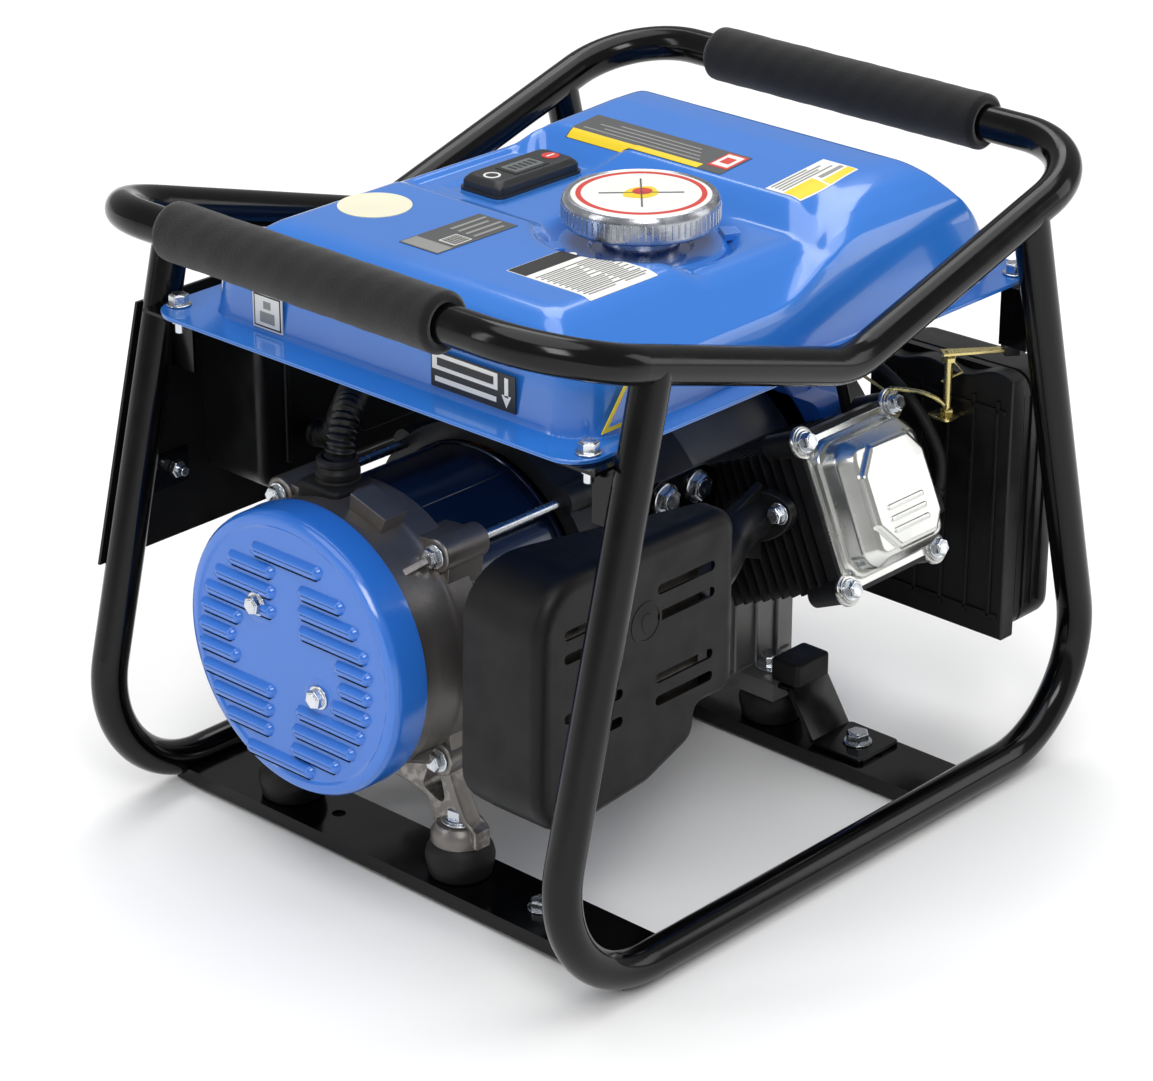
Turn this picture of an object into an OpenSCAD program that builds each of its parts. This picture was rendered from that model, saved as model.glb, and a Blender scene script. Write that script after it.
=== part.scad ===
// Portable open-frame generator: bent-tube frame, pressed fuel tank, alternator and OHV engine.
// Millimetres. X runs along the crankshaft with the recoil starter at +X and the alternator's
// louvred cover at -X. The control panel faces +Y, the cylinder head and muffler lie towards -Y.
// Z is up and the rubber feet stand on Z = 0.

/* [Frame] */
// Radius of the frame tube
tube_r = 11; // [10:0.5:12]
// Wall thickness of the frame tube
tube_wall = 1.5; // [1:0.25:3]
// Distance from the middle plane to each side loop
loop_y = 185; // [184:0.5:190]
// Half length of a loop, measured to the sharp corner of the bend
base_x = 251.6; // [248:0.5:256]
// Height of the bottom rail's axis
rail_z = 14; // [13:0.5:15]
// Bend radius of the loop's bottom corners
bend_r = 70; // [65:1:75]
// Half distance between the tops of a loop's legs
leg_top_x = 162; // [160:0.5:164]
// Height where a leg meets the handle ring
leg_top_z = 369; // [367:0.5:371]
// Height of the handle ring's lowest point, at its sharp corner
ring_z = 321; // [320:0.5:323]
// Rise of the handle ring towards its ends, degrees
ring_rise = 16.44; // [16:0.1:17]
// Distance from the middle to each handle bar
handle_x = 229.5; // [226:0.5:232]
// Radius of a foam grip
grip_r = 17.5; // [16:0.5:19]

/* [Tank] */
// Height of the tank's flange seam
flange_z = 318; // [317:0.5:319]
// Radius of the fuel cap
cap_r = 45; // [42:0.5:47]

/* [Alternator and engine] */
// Crankshaft axis, distance towards the control panel
axis_y = 35; // [34:0.5:36]
// Crankshaft axis, height
axis_z = 150; // [149:0.5:151]
// Outer face of the louvred end cover
cover_x = -222; // [-224:0.5:-220]
// Radius of the louvred end cover
cover_r = 86; // [84:0.5:88]
// Radius of the stator shell
stator_r = 81; // [79:0.5:82]
// Position of the cylinder along the crankshaft
cylinder_x = 99; // [98:0.5:100]
// Inclination of the cylinder above the horizontal, degrees
cylinder_tilt = 24; // [23:0.5:25]
// How far the cylinder's axis passes below the crankshaft's
bore_drop = 24; // [22:1:26]
// How far the cylinder is moved towards the muffler side
bore_shift = 8; // [6:1:10]
// Distance from the crankshaft axis to the valve cover's gasket face
head_s = 165; // [163:0.5:166]

/* [Hidden] */
$fn = 48;

seam = 0.05;        // gap left at a welded or seated joint between two pieces
run = 0.05;         // radial clearance of a shaft that turns in its bore
sheet = 2;          // thickness of the frame's brackets and channels

// Frame, derived
lean = atan((base_x - leg_top_x) / (leg_top_z - rail_z));
turn = 90 + lean;
flat_x = base_x - bend_r * tan(turn / 2);
leg_foot_x = flat_x + bend_r * cos(lean);
leg_foot_z = rail_z + bend_r + bend_r * sin(lean);
leg_len = (leg_top_z - leg_foot_z) / cos(lean);
corner_r = 55;
vee_r = 60;
vee_t = vee_r * tan(ring_rise);
ring_u = handle_x / cos(ring_rise) - corner_r;
handle_z = ring_z + handle_x * tan(ring_rise);
grip_y0 = -102;
grip_y1 = 110;
channel_w = 47;
channel_top = 12.5;
channel_lip = 9;
left_channel_x = -159;
right_channel_x = 118;
foot_ys = [-122, 66];
foot_r = 14;

// Tank, derived
tank_x0 = -180;
tank_x1 = 184;
tank_y0 = -154;
tank_y1 = 149;
flange_x = 202;
flange_y = 169;
tank_bolt_x = 184.5;
tank_bolt_y = 160.3;
tank_sheet = 1.5;
tank_floor_z = 304;
low_top_z = 366;
left_top_z = 380;
right_top_z = 391;
cap_x = -24;
cap_y = -52;
cap_top_z = 397;
neck_r = 22;

// Control panel, derived
panel_y = loop_y + tube_r + 0.3;
panel_t = 2;
panel_z0 = 157;
panel_z1 = 312;
box_x0 = -138.5;
box_x1 = 138.5;
box_y0 = 145;
box_z0 = 190;
box_z1 = 305;
socket_xs = [-100, -38];
socket_z = 252;
meter_x = 24;
breaker_x = 70;
switch_x = 112;
panel_bolts = [[-165, 202], [165, 202], [-150, 290], [150, 290]];

// Alternator, derived
cover_depth = 24;
bracket_x0 = cover_x + cover_depth;
stator_x0 = -147;
stator_x1 = -68;
bell_x0 = -66;
case_x0 = 44;
case_x1 = 150;
ear_r = 90.5;
ear_angles = [45, 135, 225, 315];
cover_bolts_yz = [[27, 24], [-22, -19]];

// Feet of the machine, derived
mount_y = [-36, 106];
engine_mount_y = [-38, 108];
rubber_r = 19;
rubber_h = 21;
lug_h = 12;

// Air cleaner, derived
cleaner_x0 = 178.4;
cleaner_split = 192;
cleaner_x1 = 232;
cleaner_y0 = -168;
cleaner_y1 = -60;
cleaner_z0 = 84;
cleaner_z1 = 258;
choke_x = 170;
choke_y = -126;

// Conduit, fuel hose and plug lead routes
conduit_route = [[-165, 52, 240], [-165, 51, 250], [-163, 51, 259], [-157, 54, 268],
    [-148, 59, 274], [-137, 67, 276], [-126, 77, 273], [-116, 89, 266], [-108, 101, 256],
    [-102, 112, 244], [-98, 121, 233], [-96, 129, 224], [-95.5, 136, 219.5], [-95.5, 143, 218],
    [-95.5, 149, 218]];
hose_route = [[140, 118, 271.9], [140, 118, 268.5], [140, 117.3, 265], [140, 115.4, 262],
    [140, 112.4, 260], [140, 109, 259.3], [141, 100, 259.5], [144, 84, 260.5],
    [150, 58, 261], [155, 32, 262], [160, 6, 262], [163, -12, 260],
    [164, -26, 254], [164, -37, 245], [164, -44, 236], [164, -50, 224], [164, -53, 214],
    [164, -56, 205.5], [164, -59.5, 200.8], [164, -63.6, 199.2]];
lead_route = [[156.5, -129, 176.5], [159, -130.5, 182], [160, -131, 190], [160, -130, 202],
    [158, -124, 216], [156, -112, 232], [154, -96, 245], [154, -78, 252], [154, -60, 254],
    [154, -30, 252], [154, -10, 248], [154, 8, 244], [154, 23, 242]];

// ---------------------------------------------------------------- shared shapes

// Cylinder along X on the crankshaft's axis
module on_axis(x0, x1, r) {
    translate([x0, axis_y, axis_z]) rotate([0, 90, 0]) cylinder(h = x1 - x0, r = r);
}

// Ring along X on the crankshaft's axis
module ring_on_axis(x0, x1, outer, inner) {
    difference() {
        on_axis(x0, x1, outer);
        on_axis(x0 - 1, x1 + 1, inner);
    }
}

// Places children at a radius and angle round the crankshaft's axis
module round_axis(radius, angle) {
    translate([0, axis_y + radius * cos(angle), axis_z + radius * sin(angle)]) children();
}

// The cylinder's own frame: Z runs out along the cylinder, Y is its upper side
module cylinder_frame() {
    translate([cylinder_x, axis_y - bore_shift, axis_z - bore_drop])
        rotate([90 - cylinder_tilt, 0, 0]) children();
}

// Box with rounded vertical edges
module rounded_box(size, r) {
    hull() for (x = [r, size[0] - r], y = [r, size[1] - r])
        translate([x, y, 0]) cylinder(h = size[2], r = r, $fn = 32);
}

// Flanged hex bolt standing on Z = 0 with its shank pointing down
module flange_bolt(shank_r, grip, head_h) {
    cylinder(h = 1.4, r = shank_r * 2.25);
    translate([0, 0, 1.4]) cylinder(h = head_h, r = shank_r * 1.9, $fn = 6);
    translate([0, 0, -grip]) cylinder(h = grip, r = shank_r);
}

// Nut hanging below Z = 0 round a shank
module nut(shank_r, h) {
    translate([0, 0, -h]) difference() {
        cylinder(h = h, r = shank_r * 1.9, $fn = 6);
        translate([0, 0, -1]) cylinder(h = h + 2, r = shank_r + seam);
    }
}

// Round tube swept along a list of points, with a ring of points at each one
function sum_norm(v) = v / norm(v);
function path_dir(p, i) = sum_norm(p[min(i + 1, len(p) - 1)] - p[max(i - 1, 0)]);
function side_dir(d) = sum_norm(cross(d, abs(d[0]) < 0.8 ? [1, 0, 0] : [0, 1, 0]));
module swept_tube(p, r, sides) {
    rings = len(p);
    points = [for (i = [0:rings - 1]) let (d = path_dir(p, i), a = side_dir(d), b = cross(d, a))
        for (k = [0:sides - 1]) p[i] + r * (cos(360 * k / sides) * a + sin(360 * k / sides) * b)];
    walls = [for (i = [0:rings - 2], k = [0:sides - 1])
        each [[(i + 1) * sides + k, (i + 1) * sides + (k + 1) % sides, i * sides + k],
            [(i + 1) * sides + (k + 1) % sides, i * sides + (k + 1) % sides, i * sides + k]]];
    start_cap = [[for (k = [0:sides - 1]) k]];
    end_cap = [[for (k = [sides - 1:-1:0]) (rings - 1) * sides + k]];
    polyhedron(points = points, faces = concat(walls, start_cap, end_cap), convexity = 4);
}

// ---------------------------------------------------------------- frame

// One U-shaped loop: bottom rail, two bends, two leaning legs
module loop_core(r) {
    translate([-flat_x, 0, rail_z]) rotate([0, 90, 0]) cylinder(h = 2 * flat_x, r = r);
    for (side = [0, 1]) mirror([side, 0, 0]) rotate([90, 0, 0])
        translate([flat_x, rail_z + bend_r, 0]) rotate([0, 0, lean]) {
            mirror([0, 1, 0]) rotate_extrude(angle = turn) translate([bend_r, 0]) circle(r = r);
            translate([bend_r, 0, 0]) rotate([-90, 0, 0]) cylinder(h = leg_len, r = r);
        }
}

// Weld inside the tube's wall where two lengths meet, along X
module inner_weld() {
    translate([-1.5, 0, 0]) rotate([0, 90, 0]) difference() {
        cylinder(h = 3, r = tube_r - 0.4);
        translate([0, 0, -1]) cylinder(h = 5, r = tube_r - tube_wall + 0.4);
    }
}

// Closed handle ring: a U at each end in its own rising plane, joined by two shallow bends
module ring_core(r) {
    for (end = [0, 1]) mirror([end, 0, 0])
        translate([0, 0, ring_z]) rotate([0, -ring_rise, 0])
            for (side = [0, 1]) mirror([0, side, 0]) translate([ring_u, loop_y - corner_r, 0]) {
                rotate_extrude(angle = 90) translate([corner_r, 0]) circle(r = r);
                translate([corner_r, 0, 0]) rotate([90, 0, 0])
                    cylinder(h = loop_y - corner_r, r = r);
                translate([0, corner_r, 0]) rotate([0, -90, 0])
                    cylinder(h = ring_u - vee_t, r = r);
            }
    for (side = [-1, 1])
        translate([0, side * loop_y, ring_z + vee_r / cos(ring_rise)]) rotate([90, 0, 0])
            rotate([0, 0, -90 - ring_rise]) rotate_extrude(angle = 2 * ring_rise)
                translate([vee_r, 0]) circle(r = r);
}

// Straight part of the ring beside a leg's top, used to cope the leg to the ring
module ring_side(y, r) {
    for (end = [0, 1]) mirror([end, 0, 0]) translate([0, y, ring_z])
        rotate([0, -ring_rise, 0]) translate([110, 0, 0]) rotate([0, 90, 0])
            cylinder(h = 100, r = r);
}

module side_loop(y) {
    difference() {
        translate([0, y, 0]) loop_core(tube_r);
        translate([0, y, 0]) loop_core(tube_r - tube_wall);
        ring_side(y, tube_r + seam);
    }
    for (x = [-flat_x, flat_x]) translate([x, y, rail_z]) inner_weld();
}

module front_loop() {
    color("#151515") side_loop(loop_y);
}

module rear_loop() {
    color("#151515") side_loop(-loop_y);
}

module handle_ring() {
    color("#151515") {
        difference() {
            ring_core(tube_r);
            ring_core(tube_r - tube_wall);
        }
        for (end = [0, 1]) mirror([end, 0, 0]) for (y = [-loop_y, loop_y])
            translate([0, y, ring_z]) rotate([0, -ring_rise, 0]) translate([vee_t, 0, 0])
                inner_weld();
    }
}

// Folded channel across the frame, resting between the two bottom rails
module channel(x) {
    difference() {
        translate([x - channel_w / 2, -loop_y, channel_top - channel_lip])
            cube([channel_w, 2 * loop_y, channel_lip]);
        translate([x - channel_w / 2 + sheet, -loop_y - 1, 0])
            cube([channel_w - 2 * sheet, 2 * loop_y + 2, channel_top - sheet]);
        for (side = [-1, 1]) translate([0, side * loop_y, 0]) loop_core(tube_r + seam);
        for (y = foot_ys) translate([x, y, 0]) cylinder(h = 20, r = 4.2);
        for (y = x < 0 ? mount_y : engine_mount_y) translate([x, y, 0]) cylinder(h = 20, r = 4.2);
    }
}

module cross_channels() {
    color("#161616") {
        channel(left_channel_x);
        channel(right_channel_x);
    }
}

// Four rubber feet, each with a button that snaps through the channel
module feet() {
    color("#1c1c1c") for (x = [left_channel_x, right_channel_x], y = foot_ys)
        translate([x, y, 0]) {
            cylinder(h = channel_top - sheet, r = foot_r);
            cylinder(h = channel_top + 0.5, r = 4);
            translate([0, 0, channel_top + 0.05]) cylinder(h = 2.5, r = 6);
        }
}

// Tank bracket: a flat tab with a bolt hole, and a gusset down the leg
module tank_bracket() {
    tab_z = flange_z - 1.2 - seam;
    difference() {
        union() {
            translate([170, 148, tab_z - sheet]) cube([28, 29, sheet]);
            translate([176.4, 157, tab_z - 40]) cube([sheet, 20, 40]);
        }
        translate([tank_bolt_x, tank_bolt_y, 300]) cylinder(h = 30, r = 3.3);
        translate([0, loop_y, 0]) loop_core(tube_r + seam);
    }
}

// Tab on a front leg that carries the control panel
module panel_tab(x, z) {
    side = sign(x);
    leg_x = leg_top_x + (leg_top_z - z) * tan(lean);
    difference() {
        translate([side > 0 ? x - 11 : -leg_x, panel_y - sheet - seam, z - 11])
            cube([leg_x - abs(x) + 11, sheet, 22]);
        translate([x, panel_y, z]) rotate([90, 0, 0]) cylinder(h = 30, r = 3.3, center = true);
        translate([0, loop_y, 0]) loop_core(tube_r + seam);
    }
}

module frame_brackets() {
    color("#161616") {
        for (mx = [0, 1], my = [0, 1]) mirror([mx, 0, 0]) mirror([0, my, 0]) tank_bracket();
        for (b = panel_bolts) panel_tab(b[0], b[1]);
    }
}

// Foam sleeve on a handle bar
module grip(x) {
    translate([x, grip_y0, handle_z]) rotate([-90, 0, 0]) difference() {
        cylinder(h = grip_y1 - grip_y0, r = grip_r);
        translate([0, 0, -1]) cylinder(h = grip_y1 - grip_y0 + 2, r = tube_r + seam);
    }
}

module left_grip() {
    color("#202020") grip(-handle_x);
}

module right_grip() {
    color("#202020") grip(handle_x);
}

// ---------------------------------------------------------------- tank

// Solid block with rounded corners and sloping walls, between two heights
module tank_block(x0, x1, y0, y1, z0, z1, slope, r) {
    d = slope;
    hull() {
        translate([x0, y0, z0]) rounded_box([x1 - x0, y1 - y0, 0.5], r);
        translate([x0 + d, y0 + d, z1 - 0.5]) rounded_box([x1 - x0 - 2 * d, y1 - y0 - 2 * d, 0.5], r);
    }
}

// Outline of the upper half, shrunk by the sheet's thickness for the inside
module tank_form(t) {
    tank_block(tank_x0 + t, tank_x1 - t, tank_y0 + t, tank_y1 - t,
        flange_z - (t > 0 ? 1 : 0), low_top_z - t, 18, 16);
    tank_block(tank_x0 + 14 + t, -52 - t, tank_y0 + 16 + t, tank_y1 - 20 - t,
        low_top_z - 20, left_top_z - t, 8, 14);
    tank_block(50 + t, tank_x1 - 12 - t, tank_y0 + 16 + t, tank_y1 - 14 - t,
        low_top_z - 20, right_top_z - t, 10, 14);
}

module tank_bolt_holes() {
    for (x = [-tank_bolt_x, tank_bolt_x], y = [-tank_bolt_y, tank_bolt_y])
        translate([x, y, flange_z - 10]) cylinder(h = 20, r = 3.3);
}

// Pressed upper half: domed top, recess round the filler, flat flange
module tank_upper() {
    color("#3b6fd0") difference() {
        union() {
            tank_form(0);
            translate([-flange_x, -flange_y, flange_z])
                rounded_box([2 * flange_x, 2 * flange_y, tank_sheet], 20);
        }
        tank_form(tank_sheet);
        translate([cap_x, cap_y, low_top_z - 2]) cylinder(h = 40, r = cap_r + 6);
        translate([cap_x, cap_y, low_top_z - 10]) cylinder(h = 40, r = neck_r + seam);
        tank_bolt_holes();
    }
}

// Floor pan of the tank, welded to the upper half along the flange
module tank_lower() {
    pan_z = flange_z - 1.2;
    color("#3768c4") difference() {
        union() {
            translate([-flange_x, -flange_y, pan_z])
                rounded_box([2 * flange_x, 2 * flange_y, 1.2 - seam], 20);
            hull() {
                translate([tank_x0 + 4, tank_y0 + 4, pan_z])
                    rounded_box([tank_x1 - tank_x0 - 8, tank_y1 - tank_y0 - 8, 0.5], 16);
                translate([tank_x0 + 22, tank_y0 + 22, tank_floor_z])
                    rounded_box([tank_x1 - tank_x0 - 44, tank_y1 - tank_y0 - 44, 0.5], 16);
            }
        }
        hull() {
            translate([tank_x0 + 6, tank_y0 + 6, pan_z + 1])
                rounded_box([tank_x1 - tank_x0 - 12, tank_y1 - tank_y0 - 12, 0.5], 16);
            translate([tank_x0 + 23.5, tank_y0 + 23.5, tank_floor_z + 1.2])
                rounded_box([tank_x1 - tank_x0 - 47, tank_y1 - tank_y0 - 47, 0.5], 16);
        }
        translate([140, 118, 290]) cylinder(h = 30, r = 6.1);
        tank_bolt_holes();
    }
}

module filler_neck() {
    color("#b8bcc4") translate([cap_x, cap_y, 0]) difference() {
        union() {
            translate([0, 0, low_top_z - 12]) cylinder(h = 27, r = neck_r);
            translate([0, 0, low_top_z - 12]) cylinder(h = 8, r = neck_r + 3);
        }
        translate([0, 0, low_top_z - 20]) cylinder(h = 40, r = neck_r - 1.5);
    }
}

// Cup-shaped fuel strainer that hangs in the filler neck
module strainer() {
    top = low_top_z + 15;
    color("#d8dad6") translate([cap_x, cap_y, 0]) difference() {
        union() {
            translate([0, 0, top - 45]) cylinder(h = 45, r = neck_r - 3);
            translate([0, 0, top + seam]) cylinder(h = 1.2, r = neck_r);
            translate([0, 0, top - 1]) cylinder(h = 2, r = neck_r - 3);
        }
        translate([0, 0, top - 43.5]) cylinder(h = 60, r = neck_r - 4.2);
    }
}

module fuel_cap() {
    skirt_z = cap_top_z - 17;
    color("#c9cbd0") translate([cap_x, cap_y, 0]) {
        difference() {
            union() {
                translate([0, 0, skirt_z]) cylinder(h = 4, r1 = cap_r - 3, r2 = cap_r);
                translate([0, 0, skirt_z + 4]) cylinder(h = 10, r = cap_r);
                translate([0, 0, skirt_z + 14]) cylinder(h = 3, r1 = cap_r, r2 = cap_r - 3);
            }
            translate([0, 0, skirt_z - 1]) cylinder(h = 14, r = cap_r - 3.5);
        }
        difference() {
            translate([0, 0, low_top_z + 4]) cylinder(h = skirt_z + 12.5 - low_top_z - 4, r = neck_r + 3);
            translate([0, 0, low_top_z]) cylinder(h = 17, r = neck_r + run);
        }
    }
}

// Gauge set in the recess of the tank's top, its face tilted towards the panel side
module fuel_gauge() {
    color("#1a1b1d") translate([3, 67, low_top_z + 0.1]) difference() {
        translate([-35, -16, 0]) hull() {
            cube([70, 32, 7]);
            translate([3, 3, 7]) cube([64, 26, 5]);
        }
        translate([-15, -9, 11]) cube([30, 18, 3]);
    }
}

// Bolts of the tank and of the control panel, with their nuts
module frame_bolts() {
    color("#cfd2d6") {
        for (x = [-tank_bolt_x, tank_bolt_x], y = [-tank_bolt_y, tank_bolt_y])
            translate([x, y, flange_z + tank_sheet + seam]) {
                flange_bolt(3, 15, 6);
                translate([0, 0, -tank_sheet - 1.2 - sheet - 3 * seam]) nut(3, 5);
            }
        for (b = panel_bolts) translate([b[0], panel_y + panel_t + seam, b[1]])
            rotate([-90, 0, 0]) {
                flange_bolt(3, 14, 2.4);
                translate([0, 0, -panel_t - sheet - 3 * seam]) nut(3, 5);
            }
    }
}

module fuel_tap() {
    color("#a8abb0") difference() {
        union() {
            translate([140, 118, 296]) cylinder(h = 20, r = 6);
            translate([140, 118, 280]) cylinder(h = tank_floor_z - 280 - seam, r = 9);
            translate([140, 118, 272]) cylinder(h = 10, r = 3);
            translate([140, 118, 290]) rotate([-90, 0, 0]) cylinder(h = 15, r = 6);
        }
        translate([140, 124, 290]) rotate([-90, 0, 0]) cylinder(h = 20, r = 3 + run);
        translate([140, 118, 270]) cylinder(h = 60, r = 1.6);
    }
}

module fuel_tap_lever() {
    color("#b5482e") translate([140, 125, 290]) rotate([-90, 0, 0]) {
        cylinder(h = 10, r = 3);
        translate([0, 0, 8.5]) cylinder(h = 4, r = 7);
        translate([-3, 0, 8.5]) cube([6, 24, 4]);
    }
}

module fuel_hose() {
    color("#1b1b1b") swept_tube(hose_route, 3.6, 12);
}

// ---------------------------------------------------------------- control panel

function leg_edge(z) = leg_top_x + (leg_top_z - z) * tan(lean) + 9;

module panel_plate() {
    color("#191919") difference() {
        translate([0, panel_y + panel_t, 0]) rotate([90, 0, 0]) linear_extrude(panel_t)
            polygon([[-leg_edge(panel_z0), panel_z0], [leg_edge(panel_z0), panel_z0],
                [leg_edge(panel_z1), panel_z1], [-leg_edge(panel_z1), panel_z1]]);
        for (b = panel_bolts) translate([b[0], panel_y, b[1]]) rotate([90, 0, 0])
            cylinder(h = 10, r = 3.3, center = true);
        for (x = socket_xs) translate([x, panel_y, socket_z]) rotate([90, 0, 0])
            cylinder(h = 10, r = 20.5, center = true);
        translate([meter_x, panel_y, socket_z]) rotate([90, 0, 0])
            cylinder(h = 10, r = 20.5, center = true);
        translate([breaker_x, panel_y, socket_z]) rotate([90, 0, 0])
            cylinder(h = 10, r = 9.5, center = true);
        translate([switch_x - 10.5, panel_y - 4, socket_z - 14.5]) cube([21, 10, 29]);
        for (x = [60, 82, 104]) translate([x, panel_y, 212]) rotate([90, 0, 0])
            cylinder(h = 10, r = 4.2, center = true);
    }
}

// Box behind the panel that closes off the wiring
module panel_box() {
    wall = 2.5;
    color("#1b1b1c") difference() {
        translate([box_x0, panel_y - seam, box_z0]) rotate([90, 0, 0])
            rounded_box([box_x1 - box_x0, box_z1 - box_z0, panel_y - seam - box_y0], 14);
        translate([box_x0 + wall, panel_y + 1, box_z0 + wall]) rotate([90, 0, 0])
            rounded_box([box_x1 - box_x0 - 2 * wall, box_z1 - box_z0 - 2 * wall,
                panel_y + 1 - box_y0 - wall], 12);
        translate([-95.5, box_y0, 218]) rotate([90, 0, 0]) cylinder(h = 10, r = 11, center = true);
    }
}

// Two domestic outlets: a round body behind the panel and a square face in front
module ac_sockets() {
    color("#25282c") for (x = socket_xs) translate([x, 0, socket_z]) difference() {
        union() {
            translate([0, panel_y + panel_t, 0]) rotate([90, 0, 0]) cylinder(h = 34, r = 20);
            translate([-25, panel_y + panel_t + seam, -25]) cube([50, 0.7, 50]);
        }
        translate([0, panel_y + 10, 0]) rotate([90, 0, 0]) cylinder(h = 24, r = 16.5);
    }
}

// Sprung lid, hinged along its upper edge
module socket_lid(x) {
    y0 = panel_y + panel_t + 1.05;
    translate([x, y0, socket_z]) {
        translate([-22, 0, -23]) cube([44, 2.6, 44]);
        translate([-22, 1.3, 21.5]) rotate([0, 90, 0]) cylinder(h = 44, r = 1.3);
    }
}

module left_socket_lid() {
    color("#2b3036") socket_lid(socket_xs[0]);
}

module right_socket_lid() {
    color("#2b3036") socket_lid(socket_xs[1]);
}

module voltmeter() {
    color("#e8e8e4") translate([meter_x, panel_y + panel_t, socket_z]) rotate([90, 0, 0]) {
        cylinder(h = 30, r = 20);
        translate([0, 0, -3.6]) cylinder(h = 3.6 - seam, r = 24);
    }
}

module circuit_breaker() {
    color("#222222") translate([breaker_x, panel_y + panel_t, socket_z]) rotate([90, 0, 0])
        difference() {
            union() {
                translate([0, 0, -1.5]) cylinder(h = 1.5 - seam, r = 12);
                cylinder(h = 12, r = 9);
                translate([-11, -14, 12]) cube([22, 28, 24]);
            }
            translate([0, 0, -5]) cylinder(h = 22, r = 5 + run);
        }
}

module breaker_button() {
    color("#dddddd") translate([breaker_x, panel_y + panel_t + 3.7, socket_z]) rotate([90, 0, 0])
        cylinder(h = 14, r = 5);
}

// Rocker switch for the ignition, turning on an axis along X
module engine_switch() {
    color("#b02020") translate([switch_x - 9, panel_y + 0.4, socket_z]) rotate([0, 90, 0])
        difference() {
            cylinder(h = 18, r = 13);
            translate([-20, -20, -1]) cube([40, 20.5, 20]);
            translate([-20, 3.2, -1]) cube([40, 20, 20]);
        }
}

module dc_terminals() {
    color("#c59a3a") for (x = [60, 82, 104]) translate([x, panel_y + panel_t, 212])
        rotate([90, 0, 0]) {
            translate([0, 0, -3.6]) cylinder(h = 3.6 - seam, r = 7);
            cylinder(h = 16, r = 4);
        }
}

// ---------------------------------------------------------------- alternator

module cover_bolt_holes(r) {
    for (p = cover_bolts_yz) translate([0, axis_y + p[0], axis_z + p[1]]) rotate([0, 90, 0])
        translate([0, 0, cover_x - 5]) cylinder(h = 44, r = r);
}

// Pressed cup over the alternator's end, with louvre slots
module end_cover() {
    wall = 1.6;
    color("#3f74d6") difference() {
        union() {
            on_axis(cover_x + 6, cover_x + cover_depth, cover_r);
            translate([cover_x, axis_y, axis_z]) rotate([0, 90, 0])
                cylinder(h = 6, r1 = cover_r - 5, r2 = cover_r);
        }
        on_axis(cover_x + wall, cover_x + cover_depth + 1, cover_r - 1.6 - 4);
        on_axis(cover_x + 7, cover_x + cover_depth + 1, cover_r - wall);
        for (side = [-1, 1], k = [-3:3]) translate([cover_x - 1, 0, 0])
            translate([0, axis_y + side * 36 - 22, axis_z + k * 16 - 2]) cube([4, 44, 4]);
        cover_bolt_holes(3.3);
    }
}

module cover_bolts() {
    color("#cfd2d6") for (p = cover_bolts_yz)
        translate([cover_x - seam, axis_y + p[0], axis_z + p[1]]) rotate([0, -90, 0])
            flange_bolt(3, 30, 5);
}

// Cast end bracket: cup with a bearing seat, four bolt barrels and two cover posts
module rear_bracket() {
    color("#8a8580") difference() {
        union() {
            on_axis(bracket_x0 + 0.3, stator_x0 - seam, 84);
            for (a = ear_angles) round_axis(ear_r, a)
                translate([-168, 0, 0]) rotate([0, 90, 0]) cylinder(h = 34, r = 10);
        }
        on_axis(bracket_x0 + 9, stator_x0 + 1, 77.5);
        on_axis(stator_x0 - seam, stator_x0 + 20, stator_r + 0.1);
        on_axis(bracket_x0 - 5, bracket_x0 + 20, 16);
        for (a = [0:60:300]) round_axis(50, a) translate([bracket_x0 - 5, 0, 0])
            rotate([0, 90, 0]) cylinder(h = 20, r = 13);
        for (a = ear_angles) round_axis(ear_r, a)
            translate([-200, 0, 0]) rotate([0, 90, 0]) cylinder(h = 90, r = 3.3);
        cover_bolt_holes(3 + seam);
    }
    color("#8a8580") difference() {
        on_axis(bracket_x0 + 9, bracket_x0 + 22, 25);
        on_axis(bracket_x0 - 5, bracket_x0 + 30, 20 + seam);
    }
}

// Laminated stator core with its coil ends
module stator() {
    color("#1d2b45") {
        ring_on_axis(stator_x0, stator_x1, stator_r, 50);
        ring_on_axis(stator_x0 - 18, stator_x0, 72, 54);
        ring_on_axis(stator_x1, stator_x1 + 16, 72, 54);
    }
}

// Rotor: shaft, core, coil ends, slip rings and cooling fan
module rotor() {
    color("#9a8f86") {
        on_axis(-196, 30 - seam, 10);
        ring_on_axis(stator_x0, stator_x1, 49, 9.9);
        ring_on_axis(stator_x0 - 14, stator_x0, 40, 9.9);
        ring_on_axis(stator_x1, stator_x1 + 14, 40, 9.9);
        ring_on_axis(-44, -40, 74, 9.9);
        for (a = [0:30:330]) translate([-40, axis_y, axis_z]) rotate([a, 0, 0])
            translate([0, -1, 30]) cube([22, 2, 42]);
    }
}

// Ball bearings: one at the alternator's end, two in the crankcase
module bearings() {
    color("#c8c8cc") {
        ring_on_axis(bracket_x0 + 9, bracket_x0 + 21, 20, 10 + run);
        ring_on_axis(case_x0, case_x0 + 10, 26, 12.5 + run);
        ring_on_axis(case_x1 - 10, case_x1, 26, 12.5 + run);
    }
}

module through_bolts() {
    color("#cfd2d6") for (a = ear_angles) round_axis(ear_r, a)
        translate([-168 - seam, 0, 0]) rotate([0, -90, 0]) flange_bolt(3, 118, 5);
}

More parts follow.
